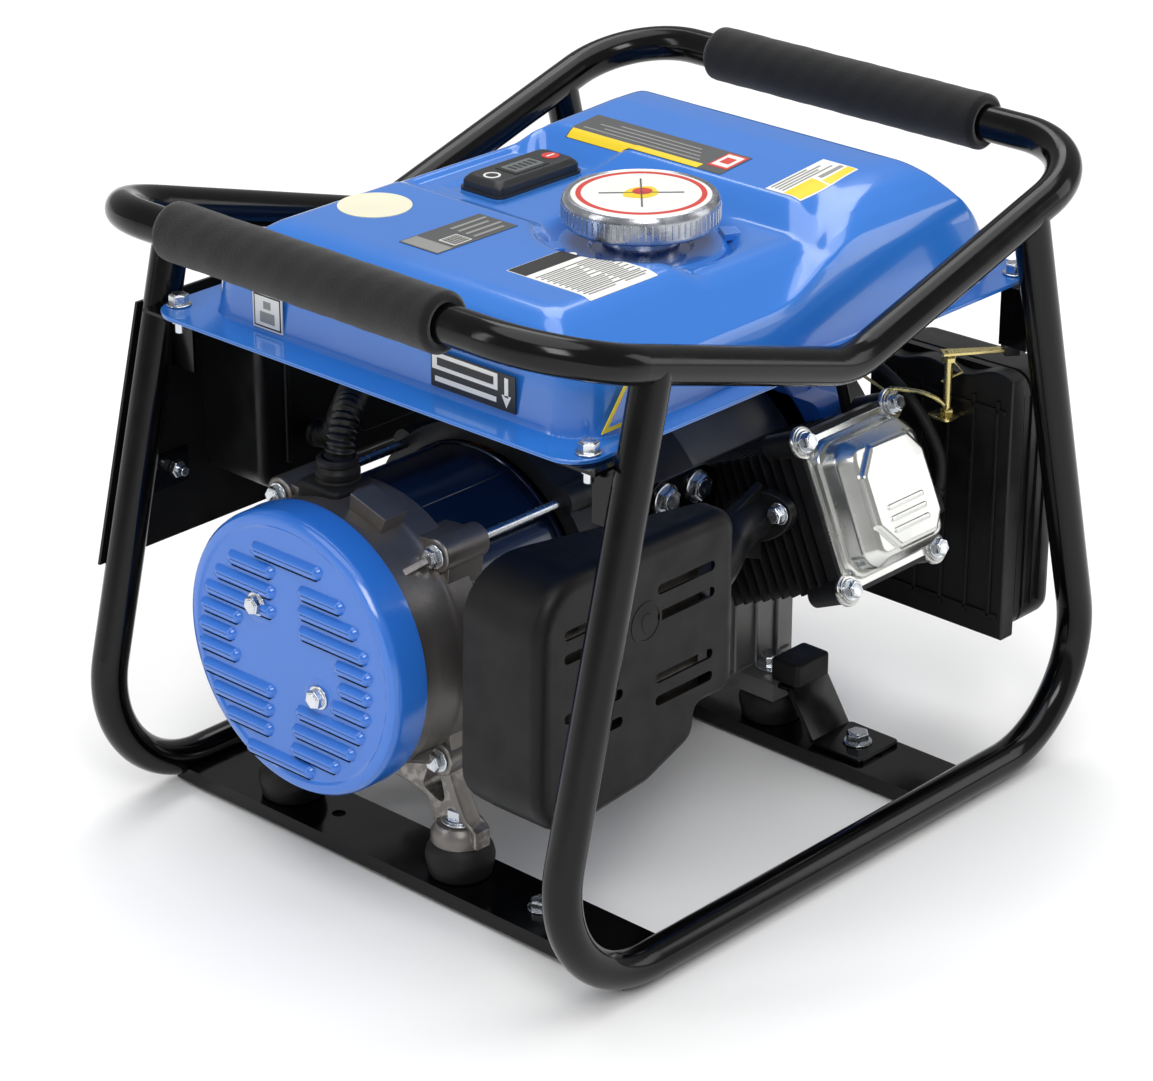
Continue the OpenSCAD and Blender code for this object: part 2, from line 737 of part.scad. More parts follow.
// Cast bell between the alternator and the crankcase, open for cooling air
module adapter_bell() {
    color("#4a4a4d") difference() {
        union() {
            on_axis(bell_x0, case_x0 - seam, 88);
            on_axis(bell_x0, bell_x0 + 6, 93);
            for (a = ear_angles) round_axis(ear_r, a)
                translate([bell_x0, 0, 0]) rotate([0, 90, 0]) cylinder(h = 30, r = 9);
        }
        on_axis(bell_x0 - 1, case_x0 - 8, 82);
        on_axis(bell_x0 - 1, case_x0 + 1, 30);
        for (a = [200:35:340]) translate([-20, axis_y, axis_z]) rotate([a, 0, 0])
            translate([0, 70, -9]) cube([44, 30, 18]);
        for (a = ear_angles) round_axis(ear_r, a)
            translate([-70, 0, 0]) rotate([0, 90, 0]) cylinder(h = 24, r = 3 + seam);
    }
}

module conduit() {
    color("#161616") swept_tube(conduit_route, 9, 12);
}

// Rubber boot where the wiring leaves the bracket
module conduit_boot() {
    color("#1a1a1a") difference() {
        union() {
            translate([-182, 36, 228]) cube([32, 34, 8]);
            translate([-165, 52, 234]) cylinder(h = 5.5, r = 12);
        }
        on_axis(-200, -140, 84.1);
        translate([-165, 52, 225]) cylinder(h = 30, r = 7);
    }
}

// Cast saddle that carries the alternator on its two rubber mounts
module alternator_foot() {
    z0 = channel_top + rubber_h;
    color("#8d8883") difference() {
        union() {
            translate([-152, 0, 0]) rotate([0, -90, 0]) linear_extrude(12)
                polygon([[z0 + 2, mount_y[0] - 8], [z0 + lug_h, mount_y[0] - 14],
                    [z0 + 34, mount_y[0] - 3], [z0 + 62, mount_y[0] + 2], [z0 + 40, axis_y],
                    [z0 + 62, mount_y[1] - 2], [z0 + 34, mount_y[1] + 3],
                    [z0 + lug_h, mount_y[1] + 14], [z0 + 2, mount_y[1] + 8],
                    [z0 + 24, axis_y + 24], [z0 + 24, axis_y - 24]]);
            for (y = mount_y) translate([left_channel_x, y, z0 + seam])
                cylinder(h = lug_h, r = 17);
        }
        for (y = mount_y) translate([left_channel_x, y, z0 - 5]) cylinder(h = 30, r = 4.2);
        for (y = mount_y) translate([left_channel_x, y, z0 + lug_h + seam])
            cylinder(h = 16, r = 11);
        on_axis(-200, -130, 84.1);
        for (a = ear_angles) round_axis(ear_r, a)
            translate([-175, 0, 0]) rotate([0, 90, 0]) cylinder(h = 60, r = 10.1);
    }
}

// Rubber buffers under the alternator and the engine
module rubber_mounts() {
    color("#1a1a1a") {
        for (y = mount_y) translate([left_channel_x, y, channel_top + seam]) difference() {
            cylinder(h = rubber_h - seam, r = rubber_r);
            translate([0, 0, -1]) cylinder(h = 40, r = 4.2);
        }
        for (y = engine_mount_y) translate([right_channel_x, y, channel_top + seam]) difference() {
            cylinder(h = rubber_h - seam, r = rubber_r);
            translate([0, 0, -1]) cylinder(h = 40, r = 4.2);
        }
    }
}

module mount_bolts() {
    z1 = channel_top + rubber_h + lug_h + 2 * seam;
    color("#cfd2d6") {
        for (y = mount_y) translate([left_channel_x, y, z1]) {
            flange_bolt(4, 42, 6);
            translate([0, 0, channel_top - sheet - seam - z1]) nut(4, 6.5);
        }
        for (y = engine_mount_y) translate([right_channel_x, y, z1]) {
            flange_bolt(4, 42, 6);
            translate([0, 0, channel_top - sheet - seam - z1]) nut(4, 6.5);
        }
    }
}

// ---------------------------------------------------------------- engine

dipstick_y = 92;
dipstick_z = 84;

module crankcase() {
    z0 = channel_top + rubber_h + seam;
    color("#9b9a96") difference() {
        union() {
            on_axis(case_x0, case_x1, 70);
            translate([case_x0, -27, z0 + 6]) cube([case_x1 - case_x0, 122, 70]);
            for (y = engine_mount_y) translate([right_channel_x - 20, y - 18, z0])
                cube([40, 36, lug_h]);
            cylinder_frame() translate([-44, -42, 30]) cube([88, 84, 40]);
            translate([128, 20, 200]) cylinder(h = 26, r = 7);
            translate([72, dipstick_y - 14, dipstick_z - 14]) rotate([-60, 0, 0])
                cylinder(h = 34, r = 13);
        }
        on_axis(case_x0 + 10, case_x1 - 10, 58);
        on_axis(case_x0 - 1, case_x1 + 1, 26 + seam);
        cylinder_frame() cylinder(h = 90, r = 27);
        cylinder_frame() translate([-60, -60, 70]) cube([120, 120, 20]);
        for (y = engine_mount_y) {
            translate([right_channel_x, y, z0 - 5]) cylinder(h = 40, r = 4.2);
            translate([right_channel_x, y, z0 + lug_h]) cylinder(h = 16, r = 11);
        }
        translate([128, 20, 190]) cylinder(h = 50, r = 3 + run);
        translate([72, dipstick_y - 14, dipstick_z - 14]) rotate([-60, 0, 0])
            translate([0, 0, -14]) cylinder(h = 60, r = 9 + run);
    }
}

valve_bolts = [for (x = [-41, 41], y = [-45.5, 45.5]) [x, y]];
plug_base = [36, -20, 138];

// Finned cylinder and head in one block, with inlet and exhaust bosses
module cylinder_head() {
    color("#4c4c4f") difference() {
        cylinder_frame() {
            translate([-36, -34, 70 + seam]) cube([72, 68, head_s - 70 - seam]);
            for (s = [78:8:150]) translate([-47, -44, s]) cube([94, 88, 2.2]);
            translate([-44, -50, head_s - 9]) cube([88, 100, 9]);
            for (b = valve_bolts) translate([b[0], b[1], head_s - 24]) cylinder(h = 24, r = 8);
            translate([-52, 10, 128]) rotate([0, 90, 0]) cylinder(h = 104, r = 15);
        }
        cylinder_frame() {
            cylinder(h = 140.5, r = 27);
            for (b = valve_bolts) translate([b[0], b[1], head_s - 16])
                cylinder(h = 20, r = 3 + seam);
            translate([-60, 10, 128]) rotate([0, 90, 0]) cylinder(h = 28, r = 10);
            translate([32, 10, 128]) rotate([0, 90, 0]) cylinder(h = 28, r = 10);
            translate(plug_base) rotate([0, 40, 0]) translate([0, 0, -14])
                cylinder(h = 60, r = 11);
        }
    }
}

module valve_cover() {
    color("#d5d8da") cylinder_frame() difference() {
        union() {
            translate([-42, -47, head_s + seam]) cube([84, 94, 2]);
            for (b = valve_bolts) translate([b[0], b[1], head_s + seam]) cylinder(h = 2, r = 10);
            hull() {
                translate([-37, -40, head_s + 2]) cube([74, 80, 12]);
                translate([-26, -30, head_s + 22]) cube([52, 60, 6]);
            }
        }
        hull() {
            translate([-35, -38, head_s - 1]) cube([70, 76, 14.5]);
            translate([-24.5, -28.5, head_s + 20]) cube([49, 57, 6.5]);
        }
        for (b = valve_bolts) translate([b[0], b[1], head_s - 5]) cylinder(h = 20, r = 3.3);
        for (b = valve_bolts) translate([b[0], b[1], head_s + 2 + seam]) cylinder(h = 20, r = 9.6);
    }
}

// Valve cover bolts and exhaust flange nuts
module engine_bolts() {
    color("#cfd2d6") cylinder_frame() {
        for (b = valve_bolts) translate([b[0], b[1], head_s + 2 + 2 * seam])
            flange_bolt(3, 16, 5.5);
        for (y = [-12, 32]) translate([-58 - seam, y, 128]) rotate([0, -90, 0])
            cylinder(h = 6, r = 5.7, $fn = 6);
    }
}

// Crankshaft with two round webs and a crankpin
module crankshaft() {
    color("#b4b4b8") {
        on_axis(30, 80, 12.5);
        on_axis(118, 192, 12.5);
        on_axis(78, 88, 34);
        on_axis(110, 120, 34);
        translate([0, -17.4, 7.7]) on_axis(87, 111, 12);
    }
}

module spark_plug() {
    color("#dedfe0") cylinder_frame() translate(plug_base) rotate([0, 40, 0]) {
        translate([0, 0, -13.9]) cylinder(h = 14, r = 6.5);
        cylinder(h = 8, r = 9.5, $fn = 6);
        translate([0, 0, 8]) cylinder(h = 12, r = 5);
    }
}

// Elbow boot over the plug, and the ignition lead to the coil
module plug_lead() {
    color("#171717") {
        cylinder_frame() translate(plug_base) rotate([0, 40, 0]) difference() {
            translate([0, 0, 8.1]) cylinder(h = 30, r = 8.5);
            translate([0, 0, 7]) cylinder(h = 14, r = 5.1);
        }
        swept_tube(lead_route, 3.5, 10);
        translate([151, 22, 236.1]) cube([20, 26, 12]);
    }
}

module carburettor() {
    cy = exhaust_yz[0];
    cz = exhaust_yz[1];
    color("#8f8f8c") difference() {
        union() {
            translate([151 + seam, cy, cz]) rotate([0, 90, 0]) cylinder(h = 27.3, r = 16);
            translate([164, cy, cz - 42]) cylinder(h = 34, r = 11);
            translate([164, cy, cz]) cylinder(h = 20, r = 9);
            translate([164, cy, cz + 12]) rotate([-90, 0, 0]) cylinder(h = 22, r = 3);
        }
        translate([150, cy, cz]) rotate([0, 90, 0]) cylinder(h = 40, r = 10);
    }
}

// Choke lever: upright spindle, flat arm over the air cleaner, knob
module choke_lever() {
    color("#d8c98a") {
        translate([choke_x, choke_y, 226]) cylinder(h = 40, r = 2.5);
        translate([choke_x, choke_y, 264]) rotate([0, 0, -38]) translate([-5, -5, 0])
            cube([46, 10, 2]);
        translate([choke_x, choke_y, 262]) rotate([0, 0, -38]) translate([33, -7, 0])
            cube([14, 14, 7]);
    }
}

module governor_arm() {
    color("#d8c98a") {
        translate([128, 20, 200]) cylinder(h = 40, r = 3);
        translate([128, 20, 236]) rotate([0, 0, -62]) translate([-6, -6, 0]) cube([52, 12, 2]);
        translate([128, 20, 236]) rotate([0, 0, 118]) translate([0, -5, 0]) cube([22, 10, 2]);
    }
}

// Back plate of the air cleaner, with the choke spindle's two lugs
module air_cleaner_base() {
    cy = exhaust_yz[0];
    cz = exhaust_yz[1];
    color("#1a1a1b") difference() {
        union() {
            translate([cleaner_x0, cleaner_y0, cleaner_z0])
                cube([cleaner_split - cleaner_x0, cleaner_y1 - cleaner_y0,
                    cleaner_z1 - cleaner_z0]);
            for (z = [228, 248]) translate([choke_x - 6, choke_y - 6, z]) cube([15, 12, 5]);
        }
        translate([cleaner_x0 + 2.5, cleaner_y0 + 2.5, cleaner_z0 + 2.5])
            cube([20, cleaner_y1 - cleaner_y0 - 5, cleaner_z1 - cleaner_z0 - 5]);
        translate([cleaner_x0 - 1, cy, cz]) rotate([0, 90, 0]) cylinder(h = 10, r = 12);
        translate([choke_x, choke_y, 220]) cylinder(h = 50, r = 2.5 + run);
    }
}

module air_cleaner_cover() {
    color("#1a1a1b") difference() {
        translate([cleaner_split + seam, cleaner_y0, cleaner_z0])
            cube([cleaner_x1 - cleaner_split, cleaner_y1 - cleaner_y0, cleaner_z1 - cleaner_z0]);
        translate([cleaner_split - 5, cleaner_y0 + 2.5, cleaner_z0 + 2.5])
            cube([cleaner_x1 - cleaner_split + 2.5, cleaner_y1 - cleaner_y0 - 5,
                cleaner_z1 - cleaner_z0 - 5]);
        translate([210, cleaner_y1 - 3, 120]) cube([14, 6, 60]);
    }
}

exhaust_yz = [axis_y - bore_shift - 128 * cos(cylinder_tilt) + 10 * sin(cylinder_tilt),
    axis_z - bore_drop + 128 * sin(cylinder_tilt) + 10 * cos(cylinder_tilt)];

// Muffler box, inlet pipe with its flange, and tail pipe
module muffler() {
    color("#6f6a63") {
        difference() {
            translate([-186, -132, 100]) rounded_box([128, 70, 128], 12);
            translate([-184, -130, 102]) rounded_box([124, 66, 124], 10);
            translate([-70, exhaust_yz[0], exhaust_yz[1]]) rotate([0, 90, 0])
                cylinder(h = 30, r = 9);
        }
        for (x = [-150, -90]) translate([x, -131, 130]) rotate([90, 0, 0])
            cylinder(h = 13.4, r = 5);
        translate([-59.5, exhaust_yz[0], exhaust_yz[1]]) rotate([0, 90, 0]) difference() {
            cylinder(h = 105.5, r = 11);
            translate([0, 0, -2]) cylinder(h = 112, r = 9);
        }
        translate([41, exhaust_yz[0], exhaust_yz[1]]) rotate([90 - cylinder_tilt, 0, 0])
            translate([0, 0, -14]) difference() {
                translate([0, -30, 0]) cube([6 - seam, 60, 28]);
                translate([-1, 0, 14]) rotate([0, 90, 0]) cylinder(h = 10, r = 9.5);
            }
    }
}

// Pressed heat guard round the muffler, with cooling slots
module muffler_guard() {
    gx0 = -207;
    gx1 = -42;
    gy0 = -146;
    gy1 = -72;
    gz0 = 76;
    gz1 = 240;
    wall = 1.5;
    color("#1c1c1c") difference() {
        translate([gx0, gy0, gz0]) rounded_box([gx1 - gx0, gy1 - gy0 + 30, gz1 - gz0], 22);
        translate([gx0 + wall, gy0 + wall, gz0 + wall])
            rounded_box([gx1 - gx0 - 2 * wall, gy1 - gy0 + 30, gz1 - gz0 - 2 * wall], 20.5);
        translate([gx0 - 1, gy1, gz0 - 1]) cube([200, 80, 200]);
        translate([gx1 - 16, gy0 + 28, 170]) cube([30, 80, 60]);
        for (x = [-110, -165], z = [150, 164, 196, 210]) translate([x, gy0 - 2, z])
            cube([42, 10, 6]);
    }
}

// Flywheel with its ring of cooling blades
module flywheel() {
    color("#7d7d80") {
        ring_on_axis(154, 172, 74, 12.5 + seam);
        for (a = [0:24:336]) translate([172, axis_y, axis_z]) rotate([a, 0, 0])
            translate([0, -1.2, 44]) cube([17, 2.4, 28]);
    }
}

// Shroud that guides cooling air from the flywheel to the cylinder
module blower_housing() {
    color("#1d1d1f") difference() {
        union() {
            on_axis(case_x1 + seam, 196, 86);
            translate([case_x1 + seam, -46, 130]) cube([26, 60, 84]);
        }
        on_axis(case_x1 - 1, 194, 82);
        on_axis(190, 200, 58);
        translate([case_x1 - 1, -44, 132]) cube([24, 60, 80]);
    }
}

recoil_dir = [0.62, 0.42, 0.66] / norm([0.62, 0.42, 0.66]);
recoil_tip = [213, 79, 216];

// Recoil starter's cover, with air slots and the rope's guide
module recoil_cover() {
    color("#1f1f21") difference() {
        union() {
            on_axis(196 + seam, 222, 74);
            translate([222, axis_y, axis_z]) rotate([0, 90, 0]) cylinder(h = 8, r1 = 74, r2 = 60);
            translate([200, 70, 196]) cube([20, 16, 14]);
        }
        on_axis(190, 220, 71);
        for (a = [0:30:330]) round_axis(46, a) translate([215, 0, 0]) rotate([0, 90, 0])
            cylinder(h = 20, r = 7);
    }
}

// Starter handle on the end of its rope
module recoil_grip() {
    elevation = acos(recoil_dir[2]);
    azimuth = atan2(recoil_dir[1], recoil_dir[0]);
    color("#1a1a1a") translate(recoil_tip) rotate([0, 0, azimuth]) rotate([0, elevation, 0]) {
        translate([0, 0, 1]) cylinder(h = 12, r1 = 6, r2 = 8);
        translate([0, -26, 18]) rotate([-90, 0, 0]) cylinder(h = 52, r = 8);
    }
}

module oil_dipstick() {
    color("#c8742a") translate([72, dipstick_y - 14, dipstick_z - 14]) rotate([-60, 0, 0]) {
        translate([0, 0, 6]) cylinder(h = 28.5, r = 9);
        translate([0, 0, 34.3]) cylinder(h = 7, r = 14);
        translate([-12, -2, 41]) cube([24, 4, 9]);
    }
}

front_loop();
rear_loop();
handle_ring();
cross_channels();
feet();
frame_brackets();
left_grip();
right_grip();
tank_upper();
tank_lower();
filler_neck();
strainer();
fuel_cap();
fuel_gauge();
frame_bolts();
fuel_tap();
fuel_tap_lever();
fuel_hose();
panel_plate();
panel_box();
ac_sockets();
left_socket_lid();
right_socket_lid();
voltmeter();
circuit_breaker();
breaker_button();
engine_switch();
dc_terminals();
end_cover();
cover_bolts();
rear_bracket();
stator();
rotor();
bearings();
through_bolts();
adapter_bell();
conduit();
conduit_boot();
alternator_foot();
rubber_mounts();
mount_bolts();
crankcase();
cylinder_head();
valve_cover();
engine_bolts();
crankshaft();
spark_plug();
plug_lead();
carburettor();
choke_lever();
governor_arm();
air_cleaner_base();
air_cleaner_cover();
muffler();
muffler_guard();
flywheel();
blower_housing();
recoil_cover();
recoil_grip();
oil_dipstick();
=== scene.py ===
from math import atan2, cos, exp, pi, radians, sin, tan

import bmesh
import bpy
import numpy as np
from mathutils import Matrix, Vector


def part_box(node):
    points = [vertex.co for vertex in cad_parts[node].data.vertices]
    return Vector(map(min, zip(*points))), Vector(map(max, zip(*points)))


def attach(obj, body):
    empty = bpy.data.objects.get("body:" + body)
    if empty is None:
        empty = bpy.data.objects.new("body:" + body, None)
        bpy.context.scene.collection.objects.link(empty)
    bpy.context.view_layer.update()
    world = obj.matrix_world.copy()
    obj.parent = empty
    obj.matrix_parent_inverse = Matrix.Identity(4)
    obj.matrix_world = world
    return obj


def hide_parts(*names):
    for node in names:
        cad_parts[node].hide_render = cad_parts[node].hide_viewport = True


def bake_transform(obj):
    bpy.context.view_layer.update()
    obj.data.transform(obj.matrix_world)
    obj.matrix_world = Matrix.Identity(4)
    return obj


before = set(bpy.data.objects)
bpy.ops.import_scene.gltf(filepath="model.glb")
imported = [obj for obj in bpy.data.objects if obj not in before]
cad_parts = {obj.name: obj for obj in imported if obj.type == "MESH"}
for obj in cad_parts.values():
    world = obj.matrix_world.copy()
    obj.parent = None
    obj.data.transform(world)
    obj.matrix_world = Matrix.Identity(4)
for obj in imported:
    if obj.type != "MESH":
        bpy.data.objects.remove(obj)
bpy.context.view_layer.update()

MM = 0.001
AXIS_Y, AXIS_Z = 35, 150                       # crankshaft's axis, in millimetres
RIGHT, LEFT, BACK, FRONT, UP, DOWN = (1, 0, 0), (-1, 0, 0), (0, 1, 0), (0, -1, 0), (0, 0, 1), (0, 0, -1)
BOX_FACES = [(3, 2, 1, 0), (4, 5, 6, 7), (0, 1, 5, 4), (1, 2, 6, 5), (2, 3, 7, 6), (3, 0, 4, 7)]
EAR_ANGLES = (45, 135, 225, 315)               # the alternator's four bolt ears
EAR_R = 90.5
COVER_BOLTS = ((62, 174), (13, 131))           # y and z on the end cover
MOUNTS = ((-159, -36), (-159, 106), (118, -38), (118, 108))
FEET = ((-159, -122), (-159, 66), (118, -122), (118, 66))
EX_Y, EX_Z = -85.9, 187.2                      # centre of the exhaust and inlet bores
LEAN_COS, LEAN_SIN = 0.9135, 0.4067            # the cylinder leans 24 degrees above level
PANEL_Y = 198.35                               # the panel's outer face
SHROUD_ANGLES = [22.5 + 45 * k for k in range(8)]
scene = bpy.context.scene


# ------------------------------------------------------------------ camera, light and floor
def aim(obj, target):
    obj.rotation_mode = "QUATERNION"
    obj.rotation_quaternion = (obj.location - Vector(target)).to_track_quat("Z", "Y")


def make_camera():
    az, el, dist = radians(-47.1), radians(24.3), 2.2276
    target = Vector((0.0049, 0.0244, 0.15))
    cam = bpy.data.objects.new("camera", bpy.data.cameras.new("camera"))
    scene.collection.objects.link(cam)
    cam.location = target + dist * Vector((sin(az) * cos(el), -cos(az) * cos(el), sin(el)))
    cam.data.sensor_fit = "HORIZONTAL"
    cam.data.sensor_width = 36
    cam.data.lens = 114.9
    cam.data.clip_start, cam.data.clip_end = 0.05, 50
    aim(cam, target)
    scene.camera = cam


def area_light(name, at, size, power, target=(0, 0, 0.2)):
    data = bpy.data.lights.new(name, "AREA")
    data.shape = "RECTANGLE"
    data.size, data.size_y = size
    data.energy = power
    obj = bpy.data.objects.new(name, data)
    scene.collection.objects.link(obj)
    obj.location = at
    aim(obj, target)


def make_studio():
    world = bpy.data.worlds.new("studio")
    scene.world = world
    world.use_nodes = True
    bg = world.node_tree.nodes["Background"]
    bg.inputs["Color"].default_value = (1, 1, 1, 1)
    bg.inputs["Strength"].default_value = 0.36
    area_light("key", (-1.6, -1.9, 2.3), (1.0, 1.3), 38)
    area_light("fill", (-2.4, 1.2, 1.4), (0.5, 1.8), 12)
    area_light("rim", (1.5, 1.3, 2.9), (1.6, 1.2), 20)
    area_light("side", (1.9, -1.6, 1.1), (0.8, 1.6), 8)
    sun = bpy.data.objects.new("sky_glow", bpy.data.lights.new("sky_glow", "SUN"))
    sun.data.energy, sun.data.angle = 1.8, radians(60)
    scene.collection.objects.link(sun)
    scene.view_settings.view_transform = "Standard"
    me = bpy.data.meshes.new("floor")
    s = 14
    me.from_pydata([(-s, -s, 0), (s, -s, 0), (s, s, 0), (-s, s, 0)], [], [(0, 1, 2, 3)])
    floor = bpy.data.objects.new("floor", me)
    scene.collection.objects.link(floor)
    m = bpy.data.materials.new("floor")
    m.use_nodes = True
    b = m.node_tree.nodes["Principled BSDF"]
    b.inputs["Base Color"].default_value = (0.93, 0.93, 0.925, 1)
    b.inputs["Roughness"].default_value = 0.55
    me.materials.append(m)


# ------------------------------------------------------------------ materials
def rgb(h):
    c = [int(h[i:i + 2], 16) / 255 for i in (1, 3, 5)]
    return [x / 12.92 if x <= 0.04045 else ((x + 0.055) / 1.055) ** 2.4 for x in c]


def surf(name, color, rough=0.5, metal=0.0, coat=0.0, coat_rough=0.08, grain=900, bump=0.2, vary=0.12,
         rvar=0.1, big=14, wear=None, wear_at=0.55, dust=0.0, spec=0.5, stretch=None, sheen=0.0,
         depth=0.0004, weave=None):
    """Procedural material: colour drift, roughness drift, fine bump, worn edges and settled dust."""
    m = bpy.data.materials.new(name)
    m.use_nodes = True
    nt = m.node_tree
    n, link = nt.nodes, nt.links.new
    bsdf = n["Principled BSDF"]
    bsdf.inputs["Metallic"].default_value = metal
    bsdf.inputs["Specular IOR Level"].default_value = spec
    bsdf.inputs["Coat Weight"].default_value = coat
    bsdf.inputs["Coat Roughness"].default_value = coat_rough
    if sheen:
        bsdf.inputs["Sheen Weight"].default_value = sheen
    tc = n.new("ShaderNodeTexCoord").outputs["Object"]

    def noise(scale, detail=3.0, vec=tc):
        t = n.new("ShaderNodeTexNoise")
        t.inputs["Scale"].default_value = scale
        t.inputs["Detail"].default_value = detail
        link(vec, t.inputs["Vector"])
        return t.outputs["Fac"]

    def remap(src, a, b, lo=0.3, hi=0.7):
        r = n.new("ShaderNodeMapRange")
        for k, v in zip(("From Min", "From Max", "To Min", "To Max"), (lo, hi, a, b)):
            r.inputs[k].default_value = v
        link(src, r.inputs["Value"])
        return r.outputs["Result"]

    def times(a, b):
        x = n.new("ShaderNodeMath")
        x.operation = "MULTIPLY"
        link(a, x.inputs[0])
        link(b, x.inputs[1])
        return x.outputs[0]

    def mix(fac, a, b):
        x = n.new("ShaderNodeMix")
        x.data_type = "RGBA"
        link(fac, x.inputs["Factor"])
        for sock, v in ((x.inputs[6], a), (x.inputs[7], b)):
            if isinstance(v, (list, tuple)):
                sock.default_value = (*v[:3], 1)
            else:
                link(v, sock)
        return x.outputs[2]

    base = rgb(color)
    fine = tc
    if stretch:
        mp = n.new("ShaderNodeMapping")
        mp.inputs["Scale"].default_value = stretch
        link(tc, mp.inputs["Vector"])
        fine = mp.outputs["Vector"]
    col = mix(remap(noise(big, 5), 0, 1), [c * (1 - vary) for c in base],
              [min(1, c * (1 + vary)) for c in base])
    rough_out = remap(noise(big * 4, 6, fine), max(0.02, rough - rvar), min(1, rough + rvar))
    if wear:
        g = n.new("ShaderNodeNewGeometry").outputs["Pointiness"]
        worn = times(remap(g, 0, 1, wear_at, wear_at + 0.06), remap(noise(220, 4), 0, 0.9, 0.42, 0.62))
        col = mix(worn, col, rgb(wear))
    if dust:
        sep = n.new("ShaderNodeSeparateXYZ")
        link(n.new("ShaderNodeNewGeometry").outputs["Normal"], sep.inputs[0])
        settled = times(remap(sep.outputs["Z"], 0, dust, 0.2, 1.0), remap(noise(45, 6), 0, 1, 0.35, 0.75))
        col = mix(settled, col, (0.42, 0.40, 0.37))
    link(col, bsdf.inputs["Base Color"])
    link(rough_out, bsdf.inputs["Roughness"])
    if weave:
        v = n.new("ShaderNodeTexVoronoi")
        v.inputs["Scale"].default_value = weave
        link(fine, v.inputs["Vector"])
        height = v.outputs["Distance"]
    else:
        height = noise(grain, 4, fine)
    bp = n.new("ShaderNodeBump")
    bp.inputs["Strength"].default_value = bump
    bp.inputs["Distance"].default_value = depth
    link(height, bp.inputs["Height"])
    link(bp.outputs["Normal"], bsdf.inputs["Normal"])
    m.diffuse_color = (*base, 1)
    return m


M = {
    "black": surf("black_gloss", "#040405", 0.15, grain=200, bump=0.03, vary=0.3, rvar=0.05, spec=0.27),
    "satin": surf("black_satin", "#0a0a0b", 0.4, grain=700, bump=0.1, vary=0.2, rvar=0.08, dust=0.02,
                  spec=0.4),
    "guard": surf("guard_black", "#060607", 0.46, grain=1100, bump=0.15, vary=0.2, rvar=0.08, spec=0.24),
    "plastic": surf("black_plastic", "#0a0a0b", 0.44, grain=1500, bump=0.18, vary=0.15, rvar=0.1,
                    spec=0.36),
    "plastic2": surf("dark_plastic", "#1a1c1f", 0.45, grain=1400, bump=0.2, vary=0.12, rvar=0.08),
    "rubber": surf("rubber", "#0c0c0c", 0.58, grain=600, bump=0.2, vary=0.25, rvar=0.1, dust=0.03,
                   spec=0.33),
    "foam": surf("foam", "#111111", 0.93, weave=1500, bump=0.5, depth=0.0006, vary=0.2, rvar=0.05, spec=0.2,
                 sheen=0.25),
    "tank": surf("tank_blue", "#2e74cc", 0.2, coat=0.6, coat_rough=0.04, grain=180, bump=0.035, vary=0.05,
                 rvar=0.04, big=7),
    "cover": surf("cover_blue", "#2a6ecb", 0.23, coat=0.5, coat_rough=0.06, grain=240, bump=0.04, vary=0.05,
                  rvar=0.04, big=8),
    "cast": surf("cast_alloy", "#7e7a76", 0.4, metal=0.8, grain=420, bump=0.28, vary=0.1, rvar=0.1, big=9,
                 wear="#a5a19b", wear_at=0.62, depth=0.0005),
    "cast2": surf("crankcase_alloy", "#6f6f6e", 0.45, metal=0.7, grain=380, bump=0.25, vary=0.12, rvar=0.1,
                  big=9, depth=0.0005),
    "bell": surf("bell_paint", "#2a2a2c", 0.42, metal=0.4, grain=420, bump=0.25, vary=0.15, rvar=0.1),
    "head": surf("head_paint", "#232325", 0.42, metal=0.5, grain=380, bump=0.25, vary=0.2, rvar=0.1),
    "stator": surf("stator_blue", "#12233f", 0.16, metal=0.55, coat=0.6, grain=500, bump=0.12, vary=0.3,
                   rvar=0.08, stretch=(40, 1, 1), big=20),
    "zinc": surf("zinc", "#cfd3d8", 0.22, metal=1.0, grain=300, bump=0.04, vary=0.1, rvar=0.1, big=60),
    "cover_zinc": surf("valve_cover_zinc", "#d6d7d3", 0.25, metal=1.0, grain=300, bump=0.015, vary=0.04,
                       rvar=0.04, big=10),
    "yzinc": surf("yellow_zinc", "#cfc084", 0.28, metal=1.0, grain=300, bump=0.08, vary=0.15, rvar=0.1,
                  big=60),
    "steel": surf("machined_steel", "#a9aaad", 0.3, metal=1.0, grain=700, bump=0.15, vary=0.1,
                  stretch=(30, 1, 1)),
    "iron": surf("cast_iron", "#5d5d5f", 0.5, metal=0.8, grain=350, bump=0.5, vary=0.2),
    "copper": surf("copper", "#8a4b25", 0.35, metal=0.8, grain=1500, bump=0.5, stretch=(1, 30, 30)),
    "muffler": surf("aluminised", "#6a665f", 0.4, metal=0.9, grain=260, bump=0.3, vary=0.25, rvar=0.15,
                    big=18),
    "cap": surf("cap_steel", "#b9bcc2", 0.28, metal=1.0, grain=500, bump=0.12, vary=0.08, rvar=0.1, big=40),
    "red_plastic": surf("red_plastic", "#a81c16", 0.3, coat=0.2, grain=900, bump=0.12, vary=0.08),
    "white_plastic": surf("white_plastic", "#d9d9d4", 0.35, grain=900, bump=0.12, vary=0.04),
    "glass_dark": surf("display_grey", "#5b6262", 0.12, coat=0.8, grain=300, bump=0.03, vary=0.05,
                       rvar=0.03),
    "brass": surf("brass", "#b98e35", 0.28, metal=1.0, grain=500, bump=0.12, vary=0.1),
    "ceramic": surf("ceramic", "#e6e5df", 0.18, coat=0.5, grain=400, bump=0.04, vary=0.03),
    "orange": surf("orange_plastic", "#b5611c", 0.38, grain=900, bump=0.15, vary=0.08),
    # painted shade: a flat black that stands in for the shade inside slots and socket holes
    "painted_shade": surf("shadow_black", "#040404", 0.9, grain=500, bump=0.1, vary=0.2, spec=0.1),
}
